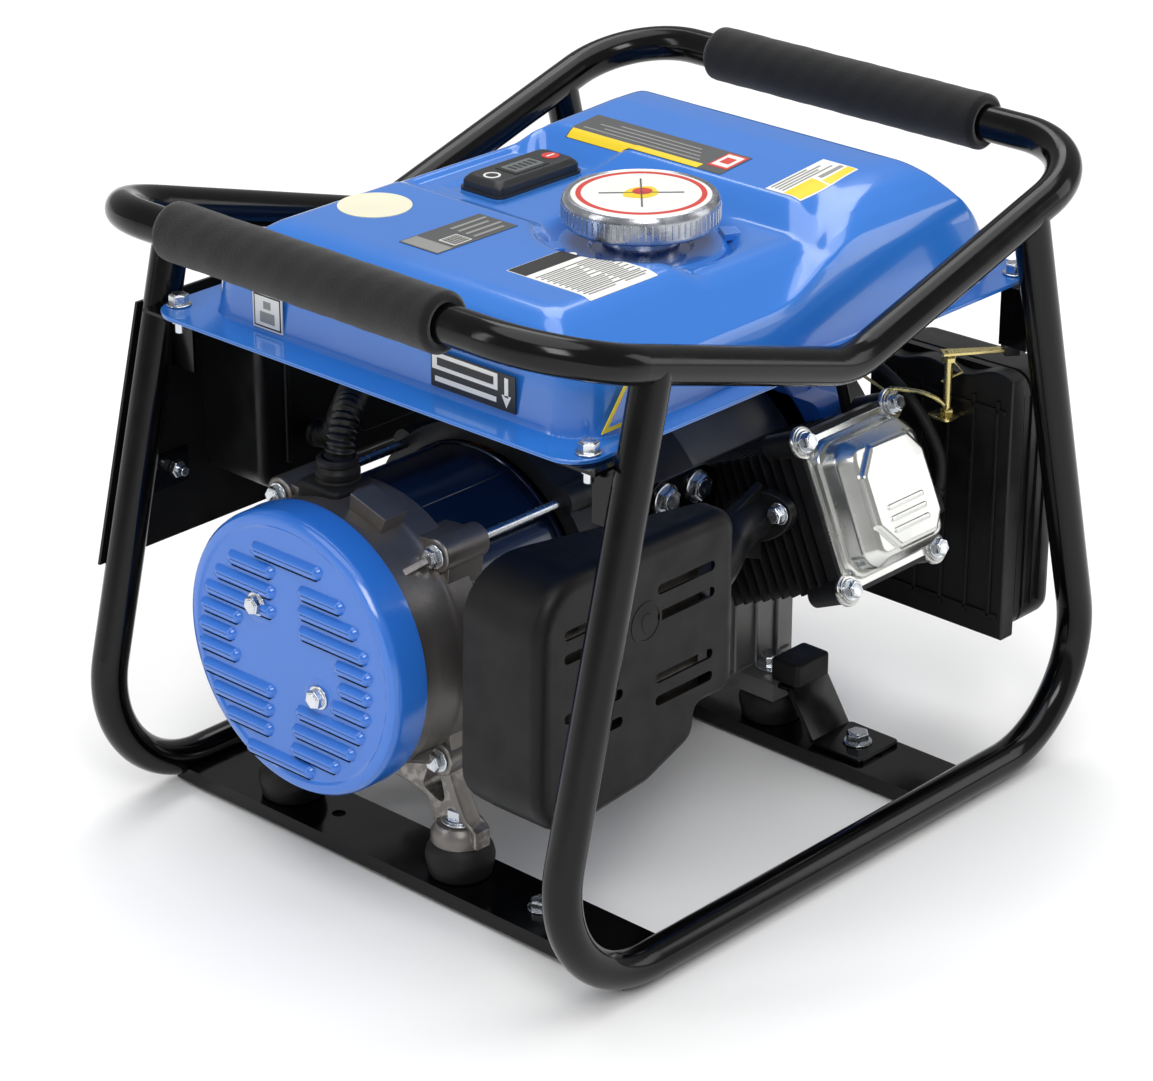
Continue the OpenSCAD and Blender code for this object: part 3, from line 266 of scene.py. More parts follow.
for key, name, color, rough, bump, vary in (("white", "white_label", "#e4e4e0", 0.4, 0.05, 0.03),
                                            ("cream", "cream_label", "#e2dfc6", 0.45, 0.06, 0.04),
                                            ("grey", "grey_label", "#4a4b4c", 0.4, 0.05, 0.05),
                                            ("black_ink", "black_ink", "#161616", 0.4, 0.05, 0.05),
                                            ("mid_ink", "grey_ink", "#8b8b88", 0.4, 0.05, 0.05),
                                            ("red", "red_ink", "#c8342c", 0.4, 0.05, 0.06),
                                            ("yellow", "yellow_label", "#e5c81e", 0.4, 0.05, 0.05)):
    M[key] = surf(name, color, rough, grain=800, bump=bump, vary=vary, rvar=0.05)


# ------------------------------------------------------------------ mesh building
def basis(axis):
    w = Vector(axis).normalized()
    u = w.cross(Vector((0, 0, 1)) if abs(w.z) < 0.9 else Vector((1, 0, 0))).normalized()
    return u, w.cross(u), w


PLACE = {
    "x": lambda p, h: (h, p[0], p[1]),
    "y": lambda p, h: (p[0], h, p[1]),
    "z": lambda p, h: (p[0], p[1], h),
}


def angles(n, start=0.0):
    return [start + 2 * pi * k / n for k in range(n)]


def circle(c, u, v, r, n, start=0.0):
    return [c + (u * cos(t) + v * sin(t)) * r for t in angles(n, start)]


class Shape:
    """Collects closed solids, in millimetres, as vertices and faces with a material number each."""

    def __init__(self):
        self.v, self.f, self.m = [], [], []

    def add(self, verts, faces, mat=0):
        k = len(self.v)
        self.v += [tuple(p) for p in verts]
        self.f += [[i + k for i in f] for f in faces]
        self.m += [mat] * len(faces)
        return self

    def box(self, x0, x1, y0, y1, z0, z1, mat=0):
        p = [(x, y, z) for z in (z0, z1) for x, y in ((x0, y0), (x1, y0), (x1, y1), (x0, y1))]
        return self.add(p, BOX_FACES, mat)

    def loft(self, rings, mat=0, closed=False):
        n = len(rings[0])
        f = []
        for i in range(len(rings) if closed else len(rings) - 1):
            a, b = i * n, ((i + 1) % len(rings)) * n
            f += [(a + k, a + (k + 1) % n, b + (k + 1) % n, b + k) for k in range(n)]
        if not closed:
            f += [list(range(n))[::-1], [(len(rings) - 1) * n + k for k in range(n)]]
        return self.add([p for r in rings for p in r], f, mat)

    def lathe(self, prof, at, axis, seg=48, mat=0, closed=False):
        """prof is (radius, height) pairs; closed joins the last to the first, for rings."""
        u, v, w = basis(axis)
        c = Vector(at)
        return self.loft([circle(c + w * h, u, v, max(r, 0.01), seg) for r, h in prof], mat, closed)

    def cyl(self, at, axis, r, h, seg=40, edge=0.4, mat=0):
        e = min(edge, r * 0.3, abs(h) * 0.3)
        return self.lathe([(r - e, 0), (r, e), (r, h - e), (r - e, h)], at, axis, seg, mat)

    def hexa(self, at, axis, r, h, turn=0.0):
        u, v, w = basis(axis)
        c, chamfer = Vector(at), 0.7
        return self.loft([circle(c + w * z, u, v, rad, 6, turn)
                          for rad, z in ((r, 0), (r, h - chamfer), (r - chamfer, h))])

    def bolt(self, at, axis, r, head, turn=0.3):
        """Hexagon head with a flange under it and a raised middle; r is the thread's radius."""
        self.lathe([(r * 2.1, 0), (r * 2.28, 0.3), (r * 2.28, 0.9), (r * 2.0, 1.4)], at, axis, 36)
        w = Vector(axis).normalized()
        self.hexa(Vector(at) + w * 1.3, axis, r * 1.85, head, turn)
        self.lathe([(r * 1.25, 0), (r * 1.2, 0.35), (r * 0.5, 0.15)], Vector(at) + w * (1.3 + head), axis,
                   24)

    def prism(self, pts, axis, a, b, mat=0):
        """Extrudes a 2-D outline along x, y or z from a to b."""
        return self.loft([[PLACE[axis](p, h) for p in pts] for h in (a, b)], mat)

    def tube(self, pts, r, seg=16):
        """r is a number or a function of the distance run along the path."""
        p = [Vector(q) for q in pts]
        rings, run, u = [], 0.0, None
        for i, q in enumerate(p):
            d = (p[min(i + 1, len(p) - 1)] - p[max(i - 1, 0)]).normalized()
            if u is None:
                u = basis(d)[0]
            u = (u - d * u.dot(d)).normalized()
            v = d.cross(u)
            rings.append(circle(q, u, v, r(run) if callable(r) else r, seg))
            if i < len(p) - 1:
                run += (p[i + 1] - q).length
        return self.loft(rings)


def smooth_path(pts, step=2.0):
    """Catmull-Rom curve through the points, sampled about every step millimetres."""
    p = [Vector(q) for q in pts]
    p = [p[0] * 2 - p[1]] + p + [p[-1] * 2 - p[-2]]
    out = []
    for i in range(1, len(p) - 2):
        a, b, c, d = p[i - 1:i + 3]
        n = max(2, int((c - b).length / step))
        for k in range(n):
            t = k / n
            out.append(0.5 * ((2 * b) + (c - a) * t + (2 * a - 5 * b + 4 * c - d) * t * t
                              + (3 * b - a - 3 * c + d) * t ** 3))
    out.append(p[-2])
    return out


def rrect(x0, x1, y0, y1, r, n=6):
    out = []
    for cx, cy, a0 in ((x1 - r, y1 - r, 0), (x0 + r, y1 - r, 90), (x0 + r, y0 + r, 180),
                       (x1 - r, y0 + r, 270)):
        for k in range(n + 1):
            t = radians(a0 + 90 * k / n)
            out.append((cx + r * cos(t), cy + r * sin(t)))
    return out


def evaluate(o):
    dg = bpy.context.evaluated_depsgraph_get()
    dg.update()
    me = bpy.data.meshes.new_from_object(o.evaluated_get(dg), depsgraph=dg)
    o.modifiers.clear()
    old, o.data = o.data, me
    bpy.data.meshes.remove(old)


def to_object(shape, name, mats):
    me = bpy.data.meshes.new(name)
    me.from_pydata([(x * MM, y * MM, z * MM) for x, y, z in shape.v], [], shape.f)
    for m in mats:
        me.materials.append(M[m])
    for poly, k in zip(me.polygons, shape.m):
        poly.material_index = k
    bm = bmesh.new()
    bm.from_mesh(me)
    bmesh.ops.recalc_face_normals(bm, faces=bm.faces)
    bm.to_mesh(me)
    bm.free()
    o = bpy.data.objects.new(name, me)
    scene.collection.objects.link(o)
    return o


def piece(shape, name, mats, body="machine", node=(), bevel=0.0, angle=34, cuts=(),
          crossing=False):
    """Turns a Shape into a finished piece: cut, bevelled, shaded, riding on its body."""
    o = to_object(shape, name, mats if isinstance(mats, (list, tuple)) else [mats])
    for c in cuts:
        tool = to_object(c, name + "_cut", ["painted_shade"])
        md = o.modifiers.new("cut", "BOOLEAN")
        md.operation, md.solver, md.object, md.use_self = "DIFFERENCE", "EXACT", tool, crossing
        evaluate(o)
        bpy.data.objects.remove(tool)
    if bevel:
        md = o.modifiers.new("bevel", "BEVEL")
        md.width, md.segments, md.limit_method = bevel * MM, 2, "ANGLE"
        md.angle_limit = radians(40)
        evaluate(o)
    o.data.shade_smooth()
    o.data.set_sharp_from_angle(angle=radians(angle))
    md = o.modifiers.new("normals", "WEIGHTED_NORMAL")
    md.keep_sharp = True
    evaluate(o)
    if body:
        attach(o, body)
    if node:
        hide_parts(*([node] if isinstance(node, str) else node))
    return o


make_camera()
make_studio()


# ------------------------------------------------------------------ CAD nodes that keep their shape
KEEP = {
    "black": ["front_loop", "rear_loop", "handle_ring", "cross_channels", "frame_brackets"],
    "satin": ["panel_plate"],
    "steel": ["bearings", "crankshaft"],
    "iron": ["flywheel"],
    "copper": ["rotor"],
    "cap": ["filler_neck"],
    "white_plastic": ["strainer"],
    "stator": ["stator"],
    "bell": ["adapter_bell"],
    "head": ["cylinder_head"],
    "cast2": ["crankcase"],
}
for key, names in KEEP.items():
    for nm in names:
        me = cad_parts[nm].data
        me.materials.clear()
        me.materials.append(M[key])


# ------------------------------------------------------------------ foam grips
def foam_grip(name, x, node):
    s = Shape()
    lo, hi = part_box(node)
    zc = (lo.z + hi.z) / 2 / MM
    steps, seg = 106, 44
    rings = []
    for i in range(steps + 1):
        y = -102 + 212 * i / steps
        e = min(y + 102, 110 - y)
        r = 17.4 - (2.2 * (1 - min(e, 3) / 3) ** 2)
        ring = []
        for t in angles(seg):
            w = 0.10 * sin(y * 0.13 + 2 * t) + 0.07 * sin(y * 0.37 - 3 * t + 1)
            rr = r - 0.3 + w
            ring.append((x + rr * cos(t), y, zc + rr * sin(t)))
        rings.append(ring)
    for y, r in ((110.0, 13.6), (109.2, 11.3), (-101.2, 11.3), (-102.0, 13.6)):
        rings.append([(x + r * cos(t), y, zc + r * sin(t)) for t in angles(seg)])
    s.loft(rings, closed=True)
    o = piece(s, name, "foam", node=node, angle=60)


foam_grip("left_foam_sleeve", -229.5, "left_grip")
foam_grip("right_foam_sleeve", 229.5, "right_grip")


# ------------------------------------------------------------------ fuel tank
def smin(a, b, k):
    h = np.maximum(k - np.abs(a - b), 0) / k
    return np.minimum(a, b) - h * h * k * 0.25


def smax(a, b, k):
    return -smin(-a, -b, k)


CAP_X, CAP_Y = -24, -52


def tank_height(x, y):
    cx, cy, hx, hy, r = 2.0, -2.5, 182.0, 151.5, 30.0
    qx, qy = np.abs(x - cx) - hx + r, np.abs(y - cy) - hy + r
    d = r - np.hypot(np.maximum(qx, 0), np.maximum(qy, 0)) - np.minimum(np.maximum(qx, qy), 0)
    wall = np.interp(d, [-5, 0, 0.8, 2, 4, 7, 11, 18, 30, 60],
                     [319.2, 319.4, 329, 339, 350, 362, 371, 377.5, 386, 400])
    top = np.interp(x, [-200, -64, -50, 34, 52, 112, 200], [378.3, 378.3, 371.5, 371.5, 385, 390.6, 390.6])
    strip = np.clip((y - 100) / 10, 0, 1)
    strip = strip * strip * (3 - 2 * strip)
    top = top + strip * (np.maximum(top, 377.5) - top)
    facet = 378.5 + (y + 113) * 0.84
    band = 350 + (x + 10) * 0.42
    step = 1 / (1 + np.exp(-(y + 142) / 0.9))
    ledge = 345.5 + 3.0 * step
    side = smax(facet, smax(np.minimum(band, 400), ledge, 8), 6)
    h = smin(top, side, 9)
    h = smin(h, 377 - (y - 107) * 1.1, 9)
    h = smin(h, 390 - (x - 141) * 1.5, 10)
    h = smin(h, wall, 9)
    rr = np.hypot(x - CAP_X, y - CAP_Y)
    bowl = 364 + np.maximum(rr - 50, 0) * 1.25
    h = smin(h, bowl, 5)
    pocket = 370.2 + np.maximum(np.maximum(np.abs(x - 3) - 40, np.abs(y - 67) - 20), 0) * 0.9
    h = smin(h, pocket, 3)
    return np.maximum(h, 319.3)


def tank_surface_z(x, y):
    return float(tank_height(np.array([float(x)]), np.array([float(y)]))[0])


def spaced(parts):
    out = [parts[0][0]]
    for a, b, step in parts:
        n = max(1, round((b - a) / step))
        out += [a + (b - a) * (k + 1) / n for k in range(n)]
    return np.array(out)


def sheet_faces(nx, ny):
    """Faces of a thin closed sheet: an nx by ny grid, the same grid below it, and the rim between them."""
    n, f = nx * ny, []
    for i in range(nx - 1):
        for j in range(ny - 1):
            a, b, c, d = i * ny + j, (i + 1) * ny + j, (i + 1) * ny + j + 1, i * ny + j + 1
            f.append((a, b, c, d))
            f.append((d + n, c + n, b + n, a + n))
    rim = [i * ny for i in range(nx)] + [(nx - 1) * ny + j for j in range(1, ny)]
    rim += [i * ny + ny - 1 for i in range(nx - 2, -1, -1)] + list(range(ny - 2, 0, -1))
    return f + [(b, a, a + n, b + n) for a, b in zip(rim, rim[1:] + rim[:1])]


def make_tank():
    xs = spaced([(-184, -150, 1.0), (-150, 130, 2.2), (130, 188, 1.5)])
    ys = spaced([(-158, -128, 1.0), (-128, 100, 2.0), (100, 153, 1.2)])
    gx, gy = np.meshgrid(xs, ys, indexing="ij")
    gz = tank_height(gx, gy)
    for _ in range(2):
        p = np.pad(gz, 1, mode="edge")
        gz = (p[1:-1, 1:-1] * 4 + p[:-2, 1:-1] + p[2:, 1:-1] + p[1:-1, :-2] + p[1:-1, 2:]) / 8
    nx, ny = len(xs), len(ys)
    top = [(gx[i, j], gy[i, j], gz[i, j]) for i in range(nx) for j in range(ny)]
    low = [(x, y, z - 1.0) for x, y, z in top]
    s = Shape()
    s.add(top + low, sheet_faces(nx, ny))
    outline = rrect(-202, 202, -169, 169, 20, 8)
    s.loft([[(px * (1 - ins / 202), py * (1 - ins / 169), z) for px, py in outline]
            for ins, z in ((0.5, 318.0), (0, 318.3), (0, 319.2), (0.5, 319.55))])
    piece(s, "tank_top_shell", "tank", node="tank_upper", angle=28)
    s = Shape()
    s.prism([(px * 0.998, py * 0.998) for px, py in outline], "z", 316.85, 317.9)
    s.loft([[(px, py, z) for px, py in rrect(-180 + ins, 184 - ins, -154 + ins, 149 - ins, 18, 6)]
            for ins, z in ((4, 316.9), (7, 313), (16, 307), (22, 304.6), (26, 304.0))])
    for y in (-60, 40):
        s.loft([[(px, py, 304.2) for px, py in rrect(-130, 120, y - 9, y + 9, 8.9, 6)],
                [(px, py, 304.6) for px, py in rrect(-127, 117, y - 6, y + 6, 5.9, 6)]])
    piece(s, "tank_floor_pan", "tank", node="tank_lower", bevel=0.25)


make_tank()


def rect_label(s, x0, x1, y0, y1, mat=0, lift=0.35):
    """One thin layer of a label, laid on the tank by a fine grid that follows it."""
    m = max(6, int((x1 - x0) / 1.8), int((y1 - y0) / 1.8))
    grid = [(x0 + (x1 - x0) * i / m, y0 + (y1 - y0) * j / m) for i in range(m + 1) for j in range(m + 1)]
    top = [(x, y, tank_surface_z(x, y) + lift) for x, y in grid]
    s.add(top + [(x, y, z - 0.3) for x, y, z in top], sheet_faces(m + 1, m + 1), mat)


def make_labels():
    s = Shape()
    z = tank_surface_z(-104, 80)
    s.lathe([(21.5, 0), (21.5, 0.35), (0.01, 0.4)], (-104, 80, z + 0.02), UP, 56)
    piece(s, "round_cream_label", "cream")
    s = Shape()
    rect_label(s, -138, -74, -4, 26, 0)
    rect_label(s, -137, -125, -3.2, 25.2, 1, 0.4)
    rect_label(s, -122, -108, -1.5, 11, 2, 0.55)
    for k in range(9):
        y = -0.8 + k * 1.25
        rect_label(s, -121.3, -108.8, y, y + (0.5 if k % 2 else 0.75), 3, 0.7)
    for k in range(4):
        rect_label(s, -104, -80 + (k % 2) * 4, k * 6, 2.2 + k * 6, 1, 0.55)
    piece(s, "dark_data_label", ["grey", "mid_ink", "white", "black_ink"])
    s = Shape()
    rect_label(s, -131, -77, -112, -50, 0)
    rect_label(s, -130.5, -78, -64, -50.6, 1, 0.55)
    for k in range(6):
        x = -126 + k * 8
        z = tank_surface_z(x, -57)
        s.lathe([(2.6, 0), (2.6, 0.12), (0.01, 0.13)], (x, -57, z + 0.36), UP, 24, 0)
    for k in range(9):
        y = -70 - k * 4.4
        rect_label(s, -129, -79, y - 0.28, y + 0.28, 1, 0.55)
        rect_label(s, -127, -108 + (k * 7) % 9, y - 2.6, y - 1.6, 2, 0.55)
        rect_label(s, -98, -86 + (k * 5) % 6, y - 2.6, y - 1.6, 2, 0.55)
    piece(s, "white_data_label", ["white", "black_ink", "mid_ink"])
    s = Shape()
    for row in ((55, 84, -42, 80, 0, 0.35), (55, 61, -24, 79, 1, 0.55), (62, 82, -41, -26, 3, 0.55),
                (64, 80, -39.5, -27.5, 4, 0.7), (68, 76, -37, -30, 3, 0.85)):
        rect_label(s, *row)
    for k in range(4):
        rect_label(s, 64 + k * 4.2, 65.2 + k * 4.2, -18 + k * 3, 74 - (k * 13) % 20, 2, 0.55)
    piece(s, "long_grey_label", ["grey", "yellow", "mid_ink", "red", "white"])
    s = Shape()
    for row in ((54, 106, -103, -77, 0, 0.35), (55, 80, -102, -90, 1, 0.55), (82, 105, -102, -96, 1, 0.55),
                (84, 104, -94, -91, 2, 0.55)):
        rect_label(s, *row)
    for k in range(4):
        rect_label(s, 57, 101 - (k * 9) % 14, -88 + k * 2.7, -86.8 + k * 2.7, 2, 0.55)
    piece(s, "yellow_white_label", ["white", "yellow", "mid_ink"])
    s = Shape()
    x = -180.6                                 # the tank's wall at the alternator's end
    for y0, y1, z0, z1, mat, lift in ((77, 101, 321.5, 343, 0, 0.25), (78, 100, 322.5, 342, 1, 0.35),
                                      (79, 99, 323.5, 341, 0, 0.45), (83, 95, 325.5, 332, 2, 0.55),
                                      (86, 92, 334, 338.5, 2, 0.55)):
        s.box(x - lift, x + 0.6, y0, y1, z0, z1, mat)
    piece(s, "square_wall_label", ["white", "black_ink", "mid_ink"])
    s = Shape()
    for y0, y1, z0, z1, mat, lift in ((-104, -41, 324, 345, 1, 0.3), (-91, -42, 334.5, 344, 0, 0.4),
                                      (-88, -46, 337, 341.5, 1, 0.7), (-90, -44, 327.5, 330.5, 0, 0.4)):
        s.box(x - lift, x + 0.6, y0, y1, z0, z1, mat)
    s.prism([(-101, 333), (-94, 333), (-97.5, 326)], "x", x - 0.45, x, 0)
    s.box(x - 0.45, x, -98.9, -96.1, 332, 343, 0)
    piece(s, "dark_wall_label", ["white", "black_ink"])
    s = Shape()
    y = -154.3                                 # the tank's wall on the muffler's side
    s.prism([(-168, 323), (-122, 323), (-145, 352)], "y", y - 0.25, y + 0.5, 0)
    s.prism([(-163, 325.6), (-127, 325.6), (-145, 348.4)], "y", y - 0.4, y + 0.4, 1)
    s.prism([(-149, 333), (-141, 333), (-141, 331), (-149, 331)], "y", y - 0.5, y, 0)
    s.prism([(-147, 344), (-143, 344), (-144, 335), (-146, 335)], "y", y - 0.5, y, 0)
    piece(s, "triangle_side_label", ["yellow", "tank"])


make_labels()


def make_cap():
    s = Shape()
    at = (CAP_X, CAP_Y, 0)
    s.lathe([(36, 383), (41.2, 380.3), (43, 380.0), (44.6, 381.2), (44.9, 383), (44.9, 392), (44.4, 394.6),
             (42.8, 396.4), (41.2, 396.8), (40.2, 395.9), (39.5, 395.9), (0.01, 396.1)], at, UP, 96)
    for t in angles(72):
        s.cyl((CAP_X + 44.75 * cos(t), CAP_Y + 44.75 * sin(t), 383.5), UP, 0.62, 8.4, 8, 0.3)
    s.lathe([(39.8, 395.4), (39.8, 396.2), (39.2, 396.5), (0.01, 396.62)], at, UP, 96, 1)
    s.lathe([(37.0, 396.4), (37.0, 396.72), (34.0, 396.76), (34.0, 396.4)], at, UP, 96, 2, closed=True)
    s.lathe([(25, 371), (25, 383.5), (22.2, 383.5), (22.2, 371)], at, UP, 48, 0, closed=True)
    c = Vector((CAP_X, CAP_Y, 396.66))
    s.loft([[c + Vector((11 * cos(t) * (1 + 0.1 * sin(3 * t)), 9 * sin(t), h))
             for t in angles(32)] for h in (-0.2, 0.16)], 3)
    s.loft([[c + Vector((2 + 6 * cos(t), 1 + 5.5 * sin(t), h)) for t in angles(28)] for h in (-0.2, 0.24)],
           2)
    for t in (0.75, 2.35):
        d, e = Vector((cos(t), sin(t), 0)), Vector((-sin(t), cos(t), 0))
        s.loft([[c + d * a + e * b + Vector((0, 0, h))
                 for a, b in ((-24, -0.45), (24, -0.45), (24, 0.45), (-24, 0.45))] for h in (-0.2, 0.3)], 4)
    piece(s, "fuel_cap_body", ["cap", "white", "red", "yellow", "grey"], body="cap", node="fuel_cap")
    s = Shape()
    s.lathe([(49, 362.5), (49, 366), (46.5, 368.2), (30, 366.5), (27, 363)], at, UP, 72)
    for deg in (-35, 25, 150):
        t = radians(deg)
        d, e = Vector((cos(t), sin(t), 0)), Vector((-sin(t), cos(t), 0))
        p = Vector((CAP_X, CAP_Y, 366.5)) + d * 51.5
        s.loft([[p + d * a + e * b + Vector((0, 0, h)) for a, b in ((-5, -7), (5, -5.6), (5, 5.6), (-5, 7))]
                for h in (0, 4.5)])
    piece(s, "filler_seat", "tank", bevel=0.6)


make_cap()


def make_gauge():
    s = Shape()
    x0, x1, y0, y1 = -32, 38, 51, 83
    z = 370.6
    s.loft([[(px, py, z + h) for px, py in rrect(x0 + ins, x1 - ins, y0 + ins, y1 - ins, 5.0, 6)]
            for ins, h in ((0, 0), (0, 4.6), (0.8, 6.2), (3.0, 8.3), (4.2, 8.7))])
    s.prism(rrect(x0 - 1.4, x1 + 1.4, y0 - 1.4, y1 + 1.4, 6.2, 6), "z", z - 0.6, z + 1.1)
    s.prism(rrect(-12, 17, 56.5, 74.5, 2.0, 4), "z", z + 8.3, z + 9.1, 1)
    s.prism(rrect(-9.5, 14.5, 59, 72, 1.0, 4), "z", z + 8.5, z + 9.25, 2)
    for k in range(5):
        s.box(-7 + k * 4.2, -4.6 + k * 4.2, 62, 69, z + 9.2, z + 9.32, 1)
    s.lathe([(5.2, 8.6), (5.2, 9.05), (3.9, 9.1), (3.9, 8.6)], (-22.5, 66, z), UP, 32, 3, closed=True)
    s.lathe([(5.4, 8.6), (5.4, 9.1), (0.01, 9.15)], (27, 66, z), UP, 32, 4)
    s.box(23.8, 30.2, 65.3, 66.7, z + 9.0, z + 9.3, 3)
    piece(s, "gauge_housing", ["plastic2", "black_ink", "glass_dark", "white", "red"], node="fuel_gauge",
          bevel=0.15)


make_gauge()


# ------------------------------------------------------------------ outlines and soft-edged slabs
def inset(pts, d):
    out, n = [], len(pts)
    for i in range(n):
        a, b, c = Vector(pts[i - 1]), Vector(pts[i]), Vector(pts[(i + 1) % n])
        e, f = (b - a).normalized(), (c - b).normalized()
        left = Vector((-e.y, e.x))
        m = Vector((-e.y - f.y, e.x + f.x))
        m = m.normalized() if m.length > 1e-6 else left
        out.append(tuple(b + m * d / max(0.4, m.dot(left))))
    return out


def fillet(corners, n=5):
    """Anticlockwise corners as (x, y, radius); returns the rounded outline."""
    out, m = [], len(corners)
    for i in range(m):
        p, r = Vector(corners[i][:2]), corners[i][2]
        a, b = Vector(corners[i - 1][:2]), Vector(corners[(i + 1) % m][:2])
        u, v = (a - p).normalized(), (b - p).normalized()
        half = u.angle(v) / 2
        t = min(r / tan(half), (a - p).length * 0.49, (b - p).length * 0.49)
        rr = t * tan(half)
        c = p + (u + v).normalized() * rr / sin(half)
        s0, s1 = p + u * t - c, p + v * t - c
        a0 = atan2(s0.y, s0.x)
        d = (atan2(s1.y, s1.x) - a0 + pi) % (2 * pi) - pi
        out += [(c.x + rr * cos(a0 + d * k / n), c.y + rr * sin(a0 + d * k / n)) for k in range(n + 1)]
    return out


def soft(h0, h1, r0=0.0, r1=0.0, n=4):
    """(inset, height) steps of a wall with rounded ends."""
    g = 1 if h1 > h0 else -1
    q = [pi / 2 * k / n for k in range(n + 1)]
    out = [(r0 * (1 - sin(t)), h0 + g * r0 * (1 - cos(t))) for t in q] if r0 else [(0, h0)]
    return out + ([(r1 * (1 - cos(t)), h1 - g * r1 * (1 - sin(t))) for t in q] if r1 else [(0, h1)])


def slab(s, outline, where, steps, mat=0):
    put = PLACE[where] if isinstance(where, str) else where
    return s.loft([[put(p, h) for p in inset(outline, d)] for d, h in steps], mat)


def rounded(x0, x1, y0, y1, r, n=3):
    return fillet([(x0, y0, r), (x1, y0, r), (x1, y1, r), (x0, y1, r)], n)


def pill(cx, cy, length, width, n=8):
    return rrect(cx - length / 2, cx + length / 2, cy - width / 2, cy + width / 2, width / 2 - 0.01, n)



# ------------------------------------------------------------------ alternator
LOUVRES = [(47, 85, 197), (47, 97, 184.5), (47.5, 106, 172), (76, 110, 159.8), (82, 112, 147.2),
           (79, 113, 134.6), (50, 111, 121), (52, 103, 108.4), (53, 92, 95.6), (-9, 27, 192.6),
           (-20, 28, 180.4), (-27.5, 28, 167.6), (-30, -1, 155.4), (-29.5, -3, 142.4), (-28, 3, 129.4),
           (-23, 32, 116.4), (-15, 35.5, 103.4), (-2, 37.5, 90.6), (8, 65, 208.4), (19, 75, 80)]


def make_end_cover():
    s = Shape()
    prof = [(84.6, 0), (86.0, 0), (86.3, 3.0), (86.0, 6.0), (85.9, 17.5), (85.2, 20.6), (83.4, 22.9),
            (80.6, 23.9), (78.0, 23.9), (76.6, 23.0), (75.6, 22.7), (0.01, 22.7), (0.01, 21.2),
            (75.4, 21.2), (78.5, 22.2), (82.2, 20.6), (84.2, 17.0), (84.6, 6)]
    s.lathe(prof, (-198, AXIS_Y, AXIS_Z), LEFT, 128, 0, closed=True)
    for y0, y1, z in LOUVRES:
        slab(s, pill((y0 + y1) / 2, z, y1 - y0, 8.6), "x",
             [(-0.8, -220.4), (0, -221.0), (0.7, -222.6), (1.7, -223.5), (3.0, -223.9), (4.1, -223.95)])
        # a flat black pill under each louvre is painted shade standing in for the shaded slot
        slab(s, pill((y0 + y1) / 2, z - 3.9, y1 - y0 - 6, 2.2), "x", [(0, -220.5), (0, -221.9)], 1)
    for y, z in COVER_BOLTS:
        s.lathe([(12.5, 22.4), (11.5, 22.9), (9, 23.1), (0.01, 23.1)], (-198, y, z), LEFT, 40, 0)
    piece(s, "louvred_end_cover", ["cover", "painted_shade"], node="end_cover", angle=30)
    s = Shape()
    for y, z in COVER_BOLTS:
        s.bolt((-221.1, y, z), LEFT, 3.2, 4.4)
        s.cyl((-221, y, z), RIGHT, 3, 22, 20)
    piece(s, "end_cover_bolts", "zinc", node="cover_bolts", bevel=0.25)


def ear_frame(deg):
    """Outward and sideways directions at an angle round the crankshaft, and the shaft's centre."""
    t = radians(deg)
    return Vector((0, cos(t), sin(t))), Vector((0, -sin(t), cos(t))), Vector((0, AXIS_Y, AXIS_Z))


def round_shaft(x, r, deg):
    out, side, c = ear_frame(deg)
    return (x, *(c + out * r)[1:])


def make_rear_bracket():
    s = Shape()
    prof = [(80, 0), (83.4, 0), (84.2, 1.6), (83.6, 12), (82.6, 14), (82.6, 27), (84.4, 30), (84.9, 33),
            (84.9, 48), (84.2, 50.4), (80, 50.4), (78, 40), (78, 10)]
    s.lathe(prof, (-197.6, AXIS_Y, AXIS_Z), RIGHT, 112, closed=True)
    s.lathe([(79, 8), (79, 12), (24, 15), (24, 30), (20, 30), (20, 8)], (-197.6, AXIS_Y, AXIS_Z), RIGHT, 64,
            closed=True)
    for a in EAR_ANGLES:
        r, q, c = ear_frame(a)
        s.cyl(round_shaft(-168.3, EAR_R, a), RIGHT, 10.2, 34.2, 36, 1.0)
        s.loft([[(x, *(c + r * u + q * v)[1:]) for u, v in ((76, -22), (91, -10), (91, 10), (76, 22))]
                for x in (-165, -137)])
        s.loft([[(x, *(c + r * u + q * v)[1:]) for x, u in ((-194, 81), (-162, 81), (-162, 96))]
                for v in (-2.2, 2.2)])
    s.loft([[round_shaft(x, r, a) for r, a in ((82, 98), (82, 116), (93.5, 116), (93.5, 98))]
            for x in (-184, -166)])
    piece(s, "cast_rear_bracket", "cast", node="rear_bracket", bevel=0.9, angle=40)
    s = Shape()
    for a in EAR_ANGLES:
        s.bolt(round_shaft(-168.5, EAR_R, a), LEFT, 3.2, 4.6, turn=a)
        s.cyl(round_shaft(-168, EAR_R, a), RIGHT, 3.0, 126, 24)
    piece(s, "tie_bolts", "zinc", node="through_bolts", bevel=0.2)
    s = Shape()
    for a in (20, 70, 110, 160, 200, 250, 290, 340):
        r, q, c = ear_frame(a)
        s.loft([[(x, *(c + r * u + q * v)[1:]) for u, v in ((80.2, -2.4), (81.7, -1.6), (81.7, 1.6),
                                                            (80.2, 2.4))] for x in (-146.8, -68.2)])
    for x in (-146.6, -71.4):
        s.lathe([(80.6, 0), (81.9, 0.5), (81.9, 2.8), (80.6, 3.2)], (x, AXIS_Y, AXIS_Z), RIGHT, 96,
                closed=True)
    piece(s, "stator_weld_seams", "stator", bevel=0.2)


